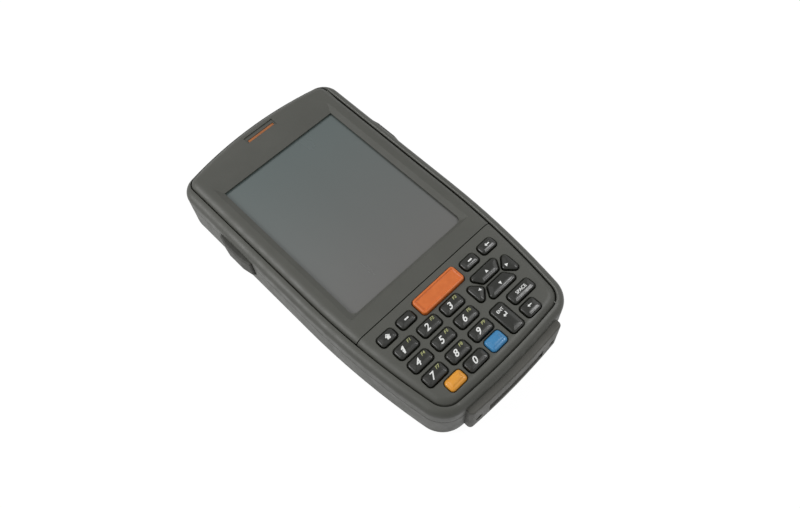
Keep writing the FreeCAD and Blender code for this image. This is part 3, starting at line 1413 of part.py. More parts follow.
def build_fasteners():
    """Build the six housing screws and the threaded inserts that they turn into."""
    screws = []
    inserts = []
    head_level = size("screw_head_sink")
    insert_top = boss_joint + size("insert_length")
    for number, (x, y) in enumerate(screw_places()):
        head = cylinder(f"screw_head_{number}", x, y, head_level, size("screw_head_radius"),
                        size("screw_head_height"))
        shank = cylinder(f"screw_shank_{number}", x, y, head_level, size("screw_radius"),
                         insert_top - head_level)
        screws.append(fused(f"screw_{number}", [head, shank]))
        sleeve = cylinder(f"insert_sleeve_{number}", x, y, boss_joint, size("insert_radius"),
                          size("insert_length"))
        thread = cylinder(f"insert_thread_{number}", x, y, boss_joint,
                          size("screw_radius"), size("insert_length"))
        inserts.append(cut(f"insert_{number}", sleeve, [thread]))
    keep(grouped("housing_screws", screws))
    keep(grouped("threaded_inserts", inserts))


def check_document():
    """Stop if any object failed to rebuild, or any node is empty or broken."""
    for thing in document.Objects:
        if "Invalid" in thing.State or "Error" in thing.State:
            raise ValueError(f"{thing.Name} did not rebuild: {thing.State}")
    for node in nodes:
        if node.Shape.isNull() or not node.Shape.isValid():
            raise ValueError(f"{node.Label} has a bad shape")
        if not node.Shape.Solids:
            raise ValueError(f"{node.Label} has no solid")


keypad_keys = list_keys()
build_rear_cover()
build_front_cover()
build_display_bezel()
build_keypad_bezel(keypad_keys)
for keypad_key in keypad_keys:
    build_key_cap(keypad_key)
for button_place in (-1, 1):
    build_side_button(button_place)
build_display()
build_boards()
build_housing_seal()
build_main_board_parts()
build_light_pipe()
build_scan_head()
build_sound()
build_battery()
build_battery_door()
build_dock()
build_stylus()
build_fasteners()
document.recompute()
check_document()

os.makedirs("parts", exist_ok=True)
for node in nodes:
    node.Shape.exportStep(f"parts/{node.Label}.step")
    print(f"{node.Label}: {len(node.Shape.Solids)} solid(s), {node.Shape.Volume:.1f} mm3")
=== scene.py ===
"""Studio scene of a portable data terminal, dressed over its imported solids.

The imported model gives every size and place. This script adds the rounded key caps with
their legends, the finishes, the studio and the camera.
"""

import json
import logging
import math
from dataclasses import dataclass, field
from enum import Enum
from typing import Optional

import bmesh
import bpy
from mathutils import Euler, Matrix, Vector
from mathutils.bvhtree import BVHTree


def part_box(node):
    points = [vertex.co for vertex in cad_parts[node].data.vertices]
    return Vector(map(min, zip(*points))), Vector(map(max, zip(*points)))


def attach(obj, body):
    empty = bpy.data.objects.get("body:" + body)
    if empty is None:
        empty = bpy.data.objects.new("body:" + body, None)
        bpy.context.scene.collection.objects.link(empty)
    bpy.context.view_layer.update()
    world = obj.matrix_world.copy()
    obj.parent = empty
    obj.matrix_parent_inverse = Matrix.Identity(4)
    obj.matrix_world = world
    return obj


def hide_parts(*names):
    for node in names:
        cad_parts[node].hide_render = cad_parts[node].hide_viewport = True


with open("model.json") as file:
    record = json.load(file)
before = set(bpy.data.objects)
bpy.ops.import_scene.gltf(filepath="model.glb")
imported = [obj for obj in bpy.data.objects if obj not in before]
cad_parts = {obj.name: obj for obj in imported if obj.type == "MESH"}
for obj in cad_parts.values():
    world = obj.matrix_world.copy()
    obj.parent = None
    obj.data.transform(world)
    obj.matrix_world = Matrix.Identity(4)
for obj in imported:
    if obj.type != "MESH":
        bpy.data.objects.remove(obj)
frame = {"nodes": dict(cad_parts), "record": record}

LOG = logging.getLogger("terminal")
MM = 0.001
MERGE = 2e-6
FINE_MERGE = 1e-7
HOUSING = "housing"
LAMP_TARGET = Vector((0.0, 0.0, 0.02))
Socket = bpy.types.NodeSocket
Material = bpy.types.Material
Mesh = bpy.types.Mesh
Object = bpy.types.Object
Colour = tuple[float, float, float]
Point2 = tuple[float, float]


# Finishes

class NodeChain:
    """Short calls that add and wire shader nodes in one material."""

    def __init__(self, name: str) -> None:
        """Starts a material of this name with one plain shader."""
        self.material = bpy.data.materials.new(name)
        self.material.use_nodes = True
        self.tree = self.material.node_tree
        self.tree.nodes.clear()
        self.output = self.node("OutputMaterial")
        self.shader = self.node("BsdfPrincipled")
        self.wire(self.shader.outputs["BSDF"], self.output.inputs["Surface"])
        self.place = self.node("TexCoord").outputs["Object"]

    def node(self, kind: str) -> bpy.types.Node:
        """Returns a new shader node of a kind."""
        return self.tree.nodes.new(f"ShaderNode{kind}")

    def wire(self, start: Socket, end: Socket) -> None:
        """Links one socket to another."""
        self.tree.links.new(start, end)

    def stretched(self, scale: tuple[float, float, float]) -> Socket:
        """Returns the object coordinates, scaled along each axis.

        Args:
            scale: The factor along X, Y and Z.

        Returns:
            The socket with the scaled coordinates.
        """
        mapping = self.node("Mapping")
        mapping.inputs["Scale"].default_value = scale
        self.wire(self.place, mapping.inputs["Vector"])
        return mapping.outputs["Vector"]

    def noise(self, scale: float, detail: float = 3.0, rough: float = 0.5,
              where: Optional[Socket] = None) -> Socket:
        """Adds a noise texture.

        Args:
            scale: Features per metre.
            detail: Octaves of finer noise.
            rough: How strong those octaves are.
            where: The coordinates it reads, or the object's own.

        Returns:
            The noise value's socket.
        """
        texture = self.node("TexNoise")
        for name, number in (("Scale", scale), ("Detail", detail), ("Roughness", rough)):
            texture.inputs[name].default_value = number
        self.wire(where or self.place, texture.inputs["Vector"])
        return texture.outputs["Fac"]

    def spread(self, value: Socket, low: float, high: float,
               start: float = 0.3, end: float = 0.7) -> Socket:
        """Maps a noise value to a range.

        Args:
            value: The socket to map.
            low: The result at the start value.
            high: The result at the end value.
            start: The value that gives low.
            end: The value that gives high.

        Returns:
            The mapped value's socket.
        """
        mapper = self.node("MapRange")
        for name, number in (("From Min", start), ("From Max", end), ("To Min", low),
                             ("To Max", high)):
            mapper.inputs[name].default_value = number
        self.wire(value, mapper.inputs["Value"])
        return mapper.outputs["Result"]

    def tinted(self, value: Socket, first: Colour, second: Colour) -> Socket:
        """Mixes two colours by a value.

        Args:
            value: The mix, from 0 to 1.
            first: The colour at 0.
            second: The colour at 1.

        Returns:
            The mixed colour's socket.
        """
        mix = self.node("Mix")
        mix.data_type = "RGBA"
        mix.inputs[6].default_value = (*first, 1.0)
        mix.inputs[7].default_value = (*second, 1.0)
        self.wire(value, mix.inputs["Factor"])
        return mix.outputs[2]

    def bumped(self, height: Socket, depth: float, strength: float) -> None:
        """Gives the shader a bump.

        Args:
            height: The height's socket, from 0 to 1.
            depth: The height's real size in metres.
            strength: How much of it is used.
        """
        bump = self.node("Bump")
        bump.inputs["Distance"].default_value = depth
        bump.inputs["Strength"].default_value = strength
        self.wire(height, bump.inputs["Height"])
        self.wire(bump.outputs["Normal"], self.shader.inputs["Normal"])

    def fix(self, name: str, value: "float | tuple[float, ...]") -> None:
        """Sets one of the shader's inputs to a constant."""
        self.shader.inputs[name].default_value = value

    def mottle(self, value: Socket, first: Colour, second: Colour) -> None:
        """Lets the base colour wander between two colours with a noise value."""
        self.wire(self.tinted(self.spread(value, 0.0, 1.0), first, second),
                  self.shader.inputs["Base Color"])

    def roughen(self, value: Socket, middle: float, below: float, above: float) -> None:
        """Lets the roughness wander round its middle with a noise value."""
        self.wire(self.spread(value, middle - below, middle + above),
                  self.shader.inputs["Roughness"])


@dataclass(frozen=True)
class MouldedPlastic:
    """Moulded plastic with a fine spark-eroded grain and faint handling marks."""

    name: str
    colour: Colour
    second: Colour
    roughness: float = 0.5
    spread: float = 0.08
    grain_per_metre: float = 3800.0
    grain_depth: float = 0.00004
    grain_strength: float = 0.35
    specular: float = 0.5
    clouds_per_metre: float = 55.0
    marks_per_metre: float = 160.0

    def build(self) -> Material:
        """Returns the material."""
        chain = NodeChain(self.name)
        chain.mottle(chain.noise(self.clouds_per_metre, 4.0, 0.6), self.colour, self.second)
        chain.roughen(chain.noise(self.marks_per_metre, 5.0, 0.65), self.roughness,
                      self.spread, self.spread)
        chain.fix("Specular IOR Level", self.specular)
        grain = chain.noise(self.grain_per_metre, 2.0, 0.55)
        chain.bumped(grain, self.grain_depth, self.grain_strength)
        return chain.material


@dataclass(frozen=True)
class LacqueredKey:
    """A key cap: tinted plastic under a clear hard coat."""

    name: str
    colour: Colour
    second: Colour
    roughness: float = 0.3
    coat: float = 0.15
    coat_roughness: float = 0.07
    specular: float = 0.35
    spread: float = 0.06
    clouds_per_metre: float = 420.0
    marks_per_metre: float = 900.0
    wave_depth: float = 0.00001
    wave_strength: float = 0.05

    def build(self) -> Material:
        """Returns the material."""
        chain = NodeChain(self.name)
        chain.mottle(chain.noise(self.clouds_per_metre, 3.0, 0.5), self.colour, self.second)
        chain.roughen(chain.noise(self.marks_per_metre, 4.0, 0.6), self.roughness,
                      self.spread, self.spread)
        chain.fix("Specular IOR Level", self.specular)
        chain.fix("Coat Weight", self.coat)
        chain.fix("Coat Roughness", self.coat_roughness)
        chain.bumped(chain.noise(self.clouds_per_metre, 1.0, 0.5), self.wave_depth,
                     self.wave_strength)
        return chain.material


@dataclass(frozen=True)
class ScreenSheet:
    """The grey touch panel, switched off, with a soft anti-glare surface; its colour fades from
    a cool grey at the top to a lighter, warmer grey lower down, a painted reflection.
    """

    name: str
    cool: Colour
    warm: Colour
    roughness: float = 0.22
    bright_end: float = 0.054
    dark_end: float = -0.022

    def build(self) -> Material:
        """Returns the material."""
        chain = NodeChain(self.name)
        parts = chain.node("SeparateXYZ")
        chain.wire(chain.place, parts.inputs["Vector"])
        # Painted reflection: the base colour is the warmer grey low on the screen and fades to
        # the cool grey at the top.
        painted_reflection_fade = chain.spread(parts.outputs["Y"], 1.0, 0.0, self.dark_end, self.bright_end)
        chain.wire(chain.tinted(painted_reflection_fade, self.cool, self.warm), chain.shader.inputs["Base Color"])
        smears = chain.noise(70.0, 5.0, 0.6, chain.stretched((1.0, 0.35, 1.0)))
        chain.roughen(smears, self.roughness, 0.05, 0.07)
        chain.bumped(chain.noise(5200.0, 1.0, 0.5), 0.00001, 0.08)
        return chain.material


@dataclass(frozen=True)
class Metal:
    """Plain metal with fine drawn or turned lines."""

    name: str
    colour: Colour
    roughness: float = 0.32
    line_stretch: tuple[float, float, float] = (1.0, 12.0, 1.0)

    def build(self) -> Material:
        """Returns the material."""
        chain = NodeChain(self.name)
        chain.fix("Metallic", 1.0)
        dull = tuple(channel * 0.8 for channel in self.colour)
        chain.mottle(chain.noise(300.0), self.colour, dull)
        lines = chain.noise(1500.0, 3.0, 0.6, chain.stretched(self.line_stretch))
        chain.roughen(lines, self.roughness, 0.1, 0.1)
        chain.bumped(lines, 0.00002, 0.15)
        return chain.material


@dataclass(frozen=True)
class SoftRubber:
    """Rubber or silicone with a dusty matte surface."""

    name: str
    colour: Colour
    roughness: float = 0.72

    def build(self) -> Material:
        """Returns the material."""
        chain = NodeChain(self.name)
        dusty = tuple(min(channel * 1.35 + 0.004, 1.0) for channel in self.colour)
        chain.mottle(chain.noise(240.0, 4.0, 0.6), self.colour, dusty)
        chain.roughen(chain.noise(500.0), self.roughness, 0.06, 0.06)
        chain.fix("Specular IOR Level", 0.35)
        chain.bumped(chain.noise(3000.0, 2.0, 0.6), 0.00003, 0.3)
        return chain.material


@dataclass(frozen=True)
class BoardLaminate:
    """Circuit board: green mask over a weave, with copper lines showing faintly through."""

    name: str
    mask: Colour = (0.012, 0.09, 0.035)
    copper: Colour = (0.03, 0.16, 0.06)

    def build(self) -> Material:
        """Returns the material."""
        chain = NodeChain(self.name)
        tracks = chain.node("TexBrick")
        tracks.inputs["Scale"].default_value = 260.0
        tracks.inputs["Mortar Size"].default_value = 0.06
        for name, colour in (("Color1", self.mask), ("Color2", self.mask),
                             ("Mortar", self.copper)):
            tracks.inputs[name].default_value = (*colour, 1.0)
        chain.wire(chain.place, tracks.inputs["Vector"])
        chain.wire(tracks.outputs["Color"], chain.shader.inputs["Base Color"])
        chain.fix("Roughness", 0.35)
        chain.bumped(chain.noise(2500.0), 0.00001, 0.2)
        return chain.material


@dataclass(frozen=True)
class ClearTinted:
    """Tinted clear plastic, for the light pipe and the scan window."""

    name: str
    colour: Colour
    glow: float = 0.0
    transmission: float = 0.35
    roughness: float = 0.12

    def build(self) -> Material:
        """Returns the material."""
        chain = NodeChain(self.name)
        deep = tuple(channel * 0.7 for channel in self.colour)
        chain.mottle(chain.noise(350.0), self.colour, deep)
        chain.fix("Transmission Weight", self.transmission)
        chain.fix("Roughness", self.roughness)
        chain.fix("Emission Color", (*self.colour, 1.0))
        chain.fix("Emission Strength", self.glow)
        chain.bumped(chain.noise(900.0), 0.00001, 0.1)
        return chain.material


@dataclass(frozen=True)
class LegendInk:
    """Printed ink, slightly uneven in its cover."""

    name: str
    colour: Colour

    def build(self) -> Material:
        """Returns the material."""
        chain = NodeChain(self.name)
        thin = tuple(channel * 0.82 for channel in self.colour)
        chain.mottle(chain.noise(2600.0), self.colour, thin)
        chain.fix("Roughness", 0.42)
        return chain.material


class Finish(Enum):
    """Every finish of the terminal."""

    HOUSING = MouldedPlastic("housing_plastic", (0.047, 0.048, 0.040), (0.056, 0.057, 0.048))
    # Lighter than the housing: a painted highlight along the rim bead.
    RIM = MouldedPlastic("rim_painted_highlight", (0.105, 0.106, 0.094), (0.120, 0.121, 0.108), 0.4)
    DOCK = MouldedPlastic("dock_plastic", (0.055, 0.054, 0.046), (0.070, 0.068, 0.058), 0.6,
                          grain_per_metre=2200.0, grain_depth=0.00008, grain_strength=0.6)
    KEY_BLACK = LacqueredKey("key_black", (0.0045, 0.005, 0.003), (0.0075, 0.008, 0.005))
    KEY_ORANGE = LacqueredKey("key_orange", (0.57, 0.13, 0.022), (0.63, 0.155, 0.03), 0.42,
                              0.15, 0.3)
    KEY_AMBER = LacqueredKey("key_amber", (0.70, 0.285, 0.022), (0.76, 0.33, 0.035))
    KEY_BLUE = LacqueredKey("key_blue", (0.035, 0.19, 0.40), (0.045, 0.23, 0.46))
    # The two screen greys carry a painted reflection: cool at the top, warmer and lighter lower
    # down.
    SCREEN = ScreenSheet("screen_sheet", (0.088, 0.112, 0.110), (0.120, 0.118, 0.113))
    AMBER_LENS = ClearTinted("amber_lens", (0.50, 0.16, 0.03), 0.05)
    RED_WINDOW = ClearTinted("red_window", (0.05, 0.004, 0.006), 0.0, 0.2, 0.06)
    BUTTON = SoftRubber("button_rubber", (0.045, 0.045, 0.040), 0.6)
    SEAL = SoftRubber("seal_rubber", (0.02, 0.02, 0.02))
    SILICONE = SoftRubber("silicone", (0.35, 0.35, 0.33))
    BOARD = BoardLaminate("board_laminate")
    STEEL = Metal("steel", (0.58, 0.58, 0.60))
    ALLOY = Metal("frame_alloy", (0.60, 0.61, 0.62), 0.45)
    BRASS = Metal("brass", (0.72, 0.55, 0.25), 0.3)
    GOLD = Metal("contact_gold", (0.85, 0.62, 0.28), 0.22)
    BLACK_PLASTIC = MouldedPlastic("black_plastic", (0.016, 0.016, 0.016),
                                   (0.024, 0.024, 0.023), 0.45)
    BATTERY = MouldedPlastic("battery_plastic", (0.028, 0.028, 0.031), (0.036, 0.036, 0.039),
                             0.5)
    STYLUS = MouldedPlastic("stylus_plastic", (0.022, 0.022, 0.023), (0.03, 0.03, 0.03), 0.3)
    CERAMIC = MouldedPlastic("lamp_ceramic", (0.75, 0.73, 0.66), (0.8, 0.78, 0.7), 0.3)
    WHITE_INK = LegendInk("white_ink", (0.86, 0.87, 0.85))
    YELLOW_INK = LegendInk("yellow_ink", (0.42, 0.44, 0.19))


class FinishShelf:
    """Keeps one built material for each finish."""

    def __init__(self) -> None:
        """Starts with nothing built."""
        self.built: dict[Finish, Material] = {}

    def get(self, finish: Finish) -> Material:
        """Returns a finish's material, built at its first use."""
        if finish not in self.built:
            self.built[finish] = finish.value.build()
        return self.built[finish]


SHELF = FinishShelf()


# Mesh helpers

def mm(across: float, along: float, up: float) -> Vector:
    """Returns a place given in millimetres."""
    return Vector((across, along, up)) * MM


def stand(name: str, data: bpy.types.ID) -> Object:
    """Returns a new object in the scene that holds a mesh, curve, lamp or camera."""
    piece = bpy.data.objects.new(name, data)
    bpy.context.scene.collection.objects.link(piece)
    return piece


def opened(mesh: Mesh) -> bmesh.types.BMesh:
    """Returns a mesh opened for editing."""
    work = bmesh.new()
    work.from_mesh(mesh)
    return work


def closed(work: bmesh.types.BMesh, mesh: Mesh) -> Mesh:
    """Writes an edited mesh back and returns it."""
    work.to_mesh(mesh)
    work.free()
    return mesh


def finish_mesh(mesh: Mesh, finish: Finish) -> None:
    """Makes a finish a mesh's only material."""
    mesh.materials.clear()
    mesh.materials.append(SHELF.get(finish))


def link_mesh(name: str, mesh: Mesh, finish: Finish) -> Object:
    """Puts a mesh in the scene as a finished object.

    Args:
        name: The object's name.
        mesh: Its mesh, in place.
        finish: Its finish.

    Returns:
        The new object.
    """
    finish_mesh(mesh, finish)
    return stand(name, mesh)


def soften(mesh: Mesh, angle: float, merge: float = MERGE) -> None:
    """Merges a mesh's doubles and shades it smooth except over sharp edges.

    Args:
        mesh: The mesh to work on.
        angle: From how many degrees an edge stays sharp.
        merge: How near two vertices are to count as one, in metres.
    """
    work = opened(mesh)
    bmesh.ops.remove_doubles(work, verts=work.verts, dist=merge)
    bmesh.ops.dissolve_degenerate(work, edges=work.edges, dist=merge / 4)
    limit = math.radians(angle)
    for face in work.faces:
        face.smooth = True
    for edge in work.edges:
        edge.smooth = len(edge.link_faces) == 2 and edge.calc_face_angle(0.0) < limit
    closed(work, mesh)


def real_mesh(piece: Object) -> Mesh:
    """Returns an object's mesh with its modifiers applied."""
    graph = bpy.context.evaluated_depsgraph_get()
    graph.update()
    return bpy.data.meshes.new_from_object(piece.evaluated_get(graph))


def body_of_node(node: str) -> str:
    """Returns the body that a solid belongs to."""
    bodies = frame["record"]["behaviour"]["bodies"]
    return next(body for body, members in bodies.items() if node in members)


def dress(node: str, finish: Finish, angle: float = 32.0) -> Object:
    """Stands a merged, smoothly shaded copy in a solid's place.

    Args:
        node: The solid's name.
        finish: Its finish.
        angle: From how many degrees an edge stays sharp.

    Returns:
        The new piece.
    """
    mesh = frame["nodes"][node].data.copy()
    mesh.name = f"{node}_mesh"
    soften(mesh, angle)
    piece = link_mesh(f"{node}_dressed", mesh, finish)
    weights = piece.modifiers.new("face_weights", "WEIGHTED_NORMAL")
    weights.keep_sharp = True
    weights.weight = 80
    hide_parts(node)
    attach(piece, body_of_node(node))
    return piece


def paint(node: str, finish: Finish) -> None:
    """Gives a solid that stays as it is a finish."""
    finish_mesh(frame["nodes"][node].data, finish)


def centre_of(node: str) -> Vector:
    """Returns the middle of a solid's box."""
    low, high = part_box(node)
    return (Vector(low) + Vector(high)) / 2


# Outline helpers for the key caps

def side_normal(start: Point2, end: Point2) -> Vector:
    """Returns the unit vector that points out of an anticlockwise side."""
    run = Vector((end[0] - start[0], end[1] - start[1])).normalized()
    return Vector((run.y, -run.x))


def moved_corners(corners: list[Point2], growth: float) -> list[Point2]:
    """Moves every side of a convex polygon outwards.

    Args:
        corners: The polygon's corners, anticlockwise.
        growth: How far the sides move out; negative moves them in.

    Returns:
        The new corners.
    """
    count = len(corners)
    moved = []
    for number, corner in enumerate(corners):
        first = side_normal(corners[number - 1], corner)
        second = side_normal(corner, corners[(number + 1) % count])
        turn = first.x * second.y - first.y * second.x
        moved.append((corner[0] + growth * (second.y - first.y) / turn,
                      corner[1] + growth * (first.x - second.x) / turn))
    return moved


def rounded_ring(corners: list[Point2], growth: float, radius: float,
                 steps: int) -> list[Point2]:
    """Returns the points of a polygon with rounded corners.

    Args:
        corners: The polygon's corners, anticlockwise.
        growth: How far its sides are moved out.
        radius: The radius of its corners.
        steps: The number of points in each corner, less one.

    Returns:
        The points, anticlockwise.
    """
    count = len(corners)
    centres = moved_corners(corners, growth - radius)
    points = []
    for number in range(count):
        before = side_normal(corners[number - 1], corners[number])
        after = side_normal(corners[number], corners[(number + 1) % count])
        start = math.atan2(before.y, before.x)
        swing = (math.atan2(after.y, after.x) - start) % math.tau
        for step in range(steps + 1):
            angle = start + swing * step / steps
            points.append((centres[number][0] + radius * math.cos(angle),
                           centres[number][1] + radius * math.sin(angle)))
    return points


def shell_from_rings(name: str, rings: list[list[Vector]]) -> Mesh:
    """Skins a closed shell over rings, with a flat face at each end.

    Args:
        name: The mesh's name.
        rings: Rings of the same number of points, from the foot to the head.

    Returns:
        The mesh.
    """
    work = bmesh.new()
    levels = [[work.verts.new(point) for point in ring] for ring in rings]
    size = len(levels[0])
    for lower, upper in zip(levels, levels[1:]):
        for number in range(size):
            follower = (number + 1) % size
            work.faces.new((lower[number], lower[follower], upper[follower], upper[number]))
    work.faces.new(list(reversed(levels[0])))
    work.faces.new(levels[-1])
    bmesh.ops.recalc_face_normals(work, faces=work.faces)
    return closed(work, bpy.data.meshes.new(name))


# Keys

class Icon(Enum):
    """Simple signs that stand on some keys, drawn in a unit square."""

    HOUSE = (((-0.5, 0.0), (0.0, 0.5), (0.5, 0.0), (0.38, -0.08), (0.0, 0.3), (-0.38, -0.08)),
             ((-0.32, -0.5), (-0.08, -0.5), (-0.08, -0.2), (0.08, -0.2), (0.08, -0.5),
              (0.32, -0.5), (0.32, -0.08), (0.0, 0.22), (-0.32, -0.08)))
    ONE = (((-0.1, -0.5), (0.14, -0.5), (0.14, 0.5), (-0.02, 0.5), (-0.32, 0.3),
            (-0.32, 0.1), (-0.1, 0.2)),)
    DASH = (((-0.5, -0.16), (0.5, -0.16), (0.5, 0.16), (-0.5, 0.16)),)
    BACK = (((-0.5, 0.0), (-0.12, -0.34), (-0.12, -0.1), (0.5, -0.1), (0.5, 0.1),
             (-0.12, 0.1), (-0.12, 0.34)),)
    ENTER = (((-0.5, -0.1), (-0.12, -0.44), (-0.12, -0.2), (0.5, -0.2), (0.5, 0.5),
              (0.3, 0.5), (0.3, 0.0), (-0.12, 0.0), (-0.12, 0.24)),)
    LEFT = (((-0.5, 0.0), (0.4, -0.5), (0.4, 0.5)),)
    RIGHT = (((0.5, 0.0), (-0.4, 0.5), (-0.4, -0.5)),)
    UP = (((0.0, 0.5), (-0.5, -0.4), (0.5, -0.4)),)
    DOWN = (((0.0, -0.5), (0.5, 0.4), (-0.5, 0.4)),)


@dataclass
class Legend:
    """A printed sign on a key: a short text or an icon."""

    sign: "str | Icon"
    across: float
    along: float
    size: float
    ink: Finish = Finish.WHITE_INK
    weight: float = 0.026
    lean: float = 0.0
    lift: float = 0.05
    text_scale: float = 1.38
    ray_start: float = 10.0
    longest_edges: tuple[float, ...] = (0.9, 0.5, 0.3)

    def flat_mesh(self) -> Mesh:
        """Returns the sign as a flat mesh round the origin, in millimetres."""
        if isinstance(self.sign, Icon):
            return self.icon_mesh(self.sign)
        curve = bpy.data.curves.new("sign", "FONT")
        curve.body = self.sign
        curve.align_x = "CENTER"
        curve.align_y = "CENTER"
        curve.size = self.size * self.text_scale
        curve.offset = self.weight * self.size
        curve.shear = self.lean
        curve.resolution_u = 4
        holder = stand("sign", curve)
        mesh = real_mesh(holder)
        bpy.data.objects.remove(holder)
        bpy.data.curves.remove(curve)
        return mesh

    def icon_mesh(self, icon: Icon) -> Mesh:
        """Returns an icon's outlines as a filled, flat mesh."""
        work = bmesh.new()
        for outline in icon.value:
            corners = [work.verts.new(((x + y * self.lean) * self.size, y * self.size, 0.0))
                       for x, y in outline]
            work.faces.new(corners)
        bmesh.ops.triangulate(work, faces=work.faces)
        return closed(work, bpy.data.meshes.new("sign"))

    def print_on(self, name: str, surface: BVHTree, centre: Vector, body: str) -> None:
        """Lays the sign on a key's crown.

        Args:
            name: The piece's name.
            surface: The cap's surface.
            centre: The middle of the key's box.
            body: The body that the sign rides on.
        """
        mesh = self.flat_mesh()
        work = opened(mesh)
        bmesh.ops.triangulate(work, faces=work.faces)
        for longest in self.longest_edges:
            long_edges = [edge for edge in work.edges if edge.calc_length() > longest]
            bmesh.ops.subdivide_edges(work, edges=long_edges, cuts=1)
            bmesh.ops.triangulate(work, faces=work.faces)
        for vertex in work.verts:
            place = centre + mm(vertex.co.x + self.across, vertex.co.y + self.along,
                                self.ray_start)
            hit = surface.ray_cast(place, Vector((0.0, 0.0, -1.0)))[0]
            place.z = (hit.z if hit is not None else centre.z) + self.lift * MM
            vertex.co = place
        for face in work.faces:
            if face.normal.z < 0:
                face.normal_flip()
        piece = link_mesh(name, closed(work, mesh), self.ink)
        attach(piece, body)


class CapShape(Enum):
    """The plan shapes of the key caps."""

    BLOCK = "block"
    ARROW = "arrow"


@dataclass
class KeyCap:
    """One key cap with a rounded, slightly domed crown and the flange under it."""

    node: str
    legends: list[Legend] = field(default_factory=list)
    finish: Finish = Finish.KEY_BLACK
    shape: CapShape = CapShape.BLOCK
    corners: list[Point2] = field(default_factory=list)
    corner_radius: float = 1.3
    crown: float = 0.95
    dome: float = 0.28
    raised_rim: float = 0.0
    flange_side: float = 0.7
    flange_height: float = 0.7
    wall_start: float = 0.05
    crown_rise: float = 0.9
    crown_reach: float = 0.8
    rim_flat: float = 0.12
    rim_width: float = 0.35
    rim_foot: float = 0.25
    rim_sink: float = 1.15
    rim_dome: float = 0.6
    rings_in_curve: int = 6
    corner_steps: int = 7
    tightest_corner: float = 0.12
    inner_reach: float = 0.96

    def plan(self) -> list[Point2]:
        """Returns the cap's corners in millimetres, anticlockwise."""
        if self.shape is CapShape.ARROW:
            return self.corners
        low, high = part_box(self.node)
        left, right = low[0] / MM + self.flange_side, high[0] / MM - self.flange_side
        return [(left, low[1] / MM), (right, low[1] / MM), (right, high[1] / MM),
                (left, high[1] / MM)]

    def half_depth(self, corners: list[Point2]) -> float:
        """Returns how far the sides can move in before they meet."""
        reach, step, most, least_area = 0.0, 0.05, 6.0, 0.05
        area = polygon_area(corners)
        while reach < most:
            inner = moved_corners(corners, -(reach + step))
            smaller = polygon_area(inner)
            if smaller <= least_area or smaller >= area:
                break
            if not all(turns_left(inner, number) for number in range(len(inner))):
                break
            area = smaller
            reach += step
        return reach

    def profile(self, deepest: float, foot: float, top: float) -> list[tuple[float, float]]:
        """Returns the crown's section as pairs of inset and height.

        Args:
            deepest: The largest inset.
            foot: The height where the cap's walls start.
            top: The height of the crown's highest point.

        Returns:
            The pairs, from the wall to the middle.
        """
        edge = top - self.dome
        crown = min(self.crown, deepest * self.crown_reach)
        rise, count = crown * self.crown_rise, self.rings_in_curve
        pairs = [(0.0, foot), (0.0, edge - rise)]
        for step in range(1, count + 1):
            angle = math.pi / 2 * step / count
            pairs.append((crown * (1 - math.cos(angle)), edge - rise * (1 - math.sin(angle))))
        if self.raised_rim:
            inner = crown + self.rim_width
            sunk = self.raised_rim * self.rim_sink
            pairs += [(crown + self.rim_flat, edge), (inner, edge - self.raised_rim),
                      (inner + self.rim_foot, edge - sunk)]
            crown = inner + self.rim_foot
            edge -= sunk
            top = edge + self.dome * self.rim_dome
        for step in range(1, count):
            share = step / count
            pairs.append((crown + (deepest - crown) * share,
                          edge + (top - edge) * (1 - (1 - share) ** 2)))
        return pairs

    def build(self) -> None:
        """Builds the cap in its solid's place and prints its legends."""
        corners = self.plan()
        low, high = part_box(self.node)
        foot, top = low[2] / MM, high[2] / MM
        deepest = self.half_depth(corners) * self.inner_reach
        if self.shape is CapShape.ARROW:
            flange = moved_corners(corners, self.flange_side)
        else:
            flange = [(x + math.copysign(self.flange_side, x - centre_of(self.node).x / MM), y)
                      for x, y in corners]
        shelf = foot + self.flange_height
        levels = [(flange, 0.0, foot), (flange, 0.0, shelf), (corners, 0.0, shelf)]
        levels += [(corners, inset, height) for inset, height
                   in self.profile(deepest, shelf + self.wall_start, top)]
        rings = []
        for outline, inset, height in levels:
            radius = max(self.corner_radius - inset * 0.9, self.tightest_corner)
            ring = rounded_ring(outline, -inset, radius, self.corner_steps)
            rings.append([mm(x, y, height) for x, y in ring])
        mesh = shell_from_rings(f"{self.node}_cap", rings)
        soften(mesh, 50.0, FINE_MERGE)
        piece = link_mesh(f"{self.node}_cap", mesh, self.finish)
        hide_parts(self.node)
        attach(piece, body_of_node(self.node))
        surface = BVHTree.FromPolygons([vertex.co for vertex in mesh.vertices],
                                       [face.vertices for face in mesh.polygons])
        middle = centre_of(self.node)
        for number, legend in enumerate(self.legends):
            legend.print_on(f"{self.node}_sign_{number}", surface, middle,
                            body_of_node(self.node))


def polygon_area(corners: list[Point2]) -> float:
    """Returns the signed area of a polygon."""
    total = 0.0
    for number, (x, y) in enumerate(corners):
        next_x, next_y = corners[(number + 1) % len(corners)]
        total += x * next_y - next_x * y
    return total / 2


def turns_left(corners: list[Point2], number: int) -> bool:
    """Tells whether a polygon turns left at a corner."""
    before, here = corners[number - 1], corners[number]
    after = corners[(number + 1) % len(corners)]
    return ((here[0] - before[0]) * (after[1] - here[1])
            - (here[1] - before[1]) * (after[0] - here[0])) > 0


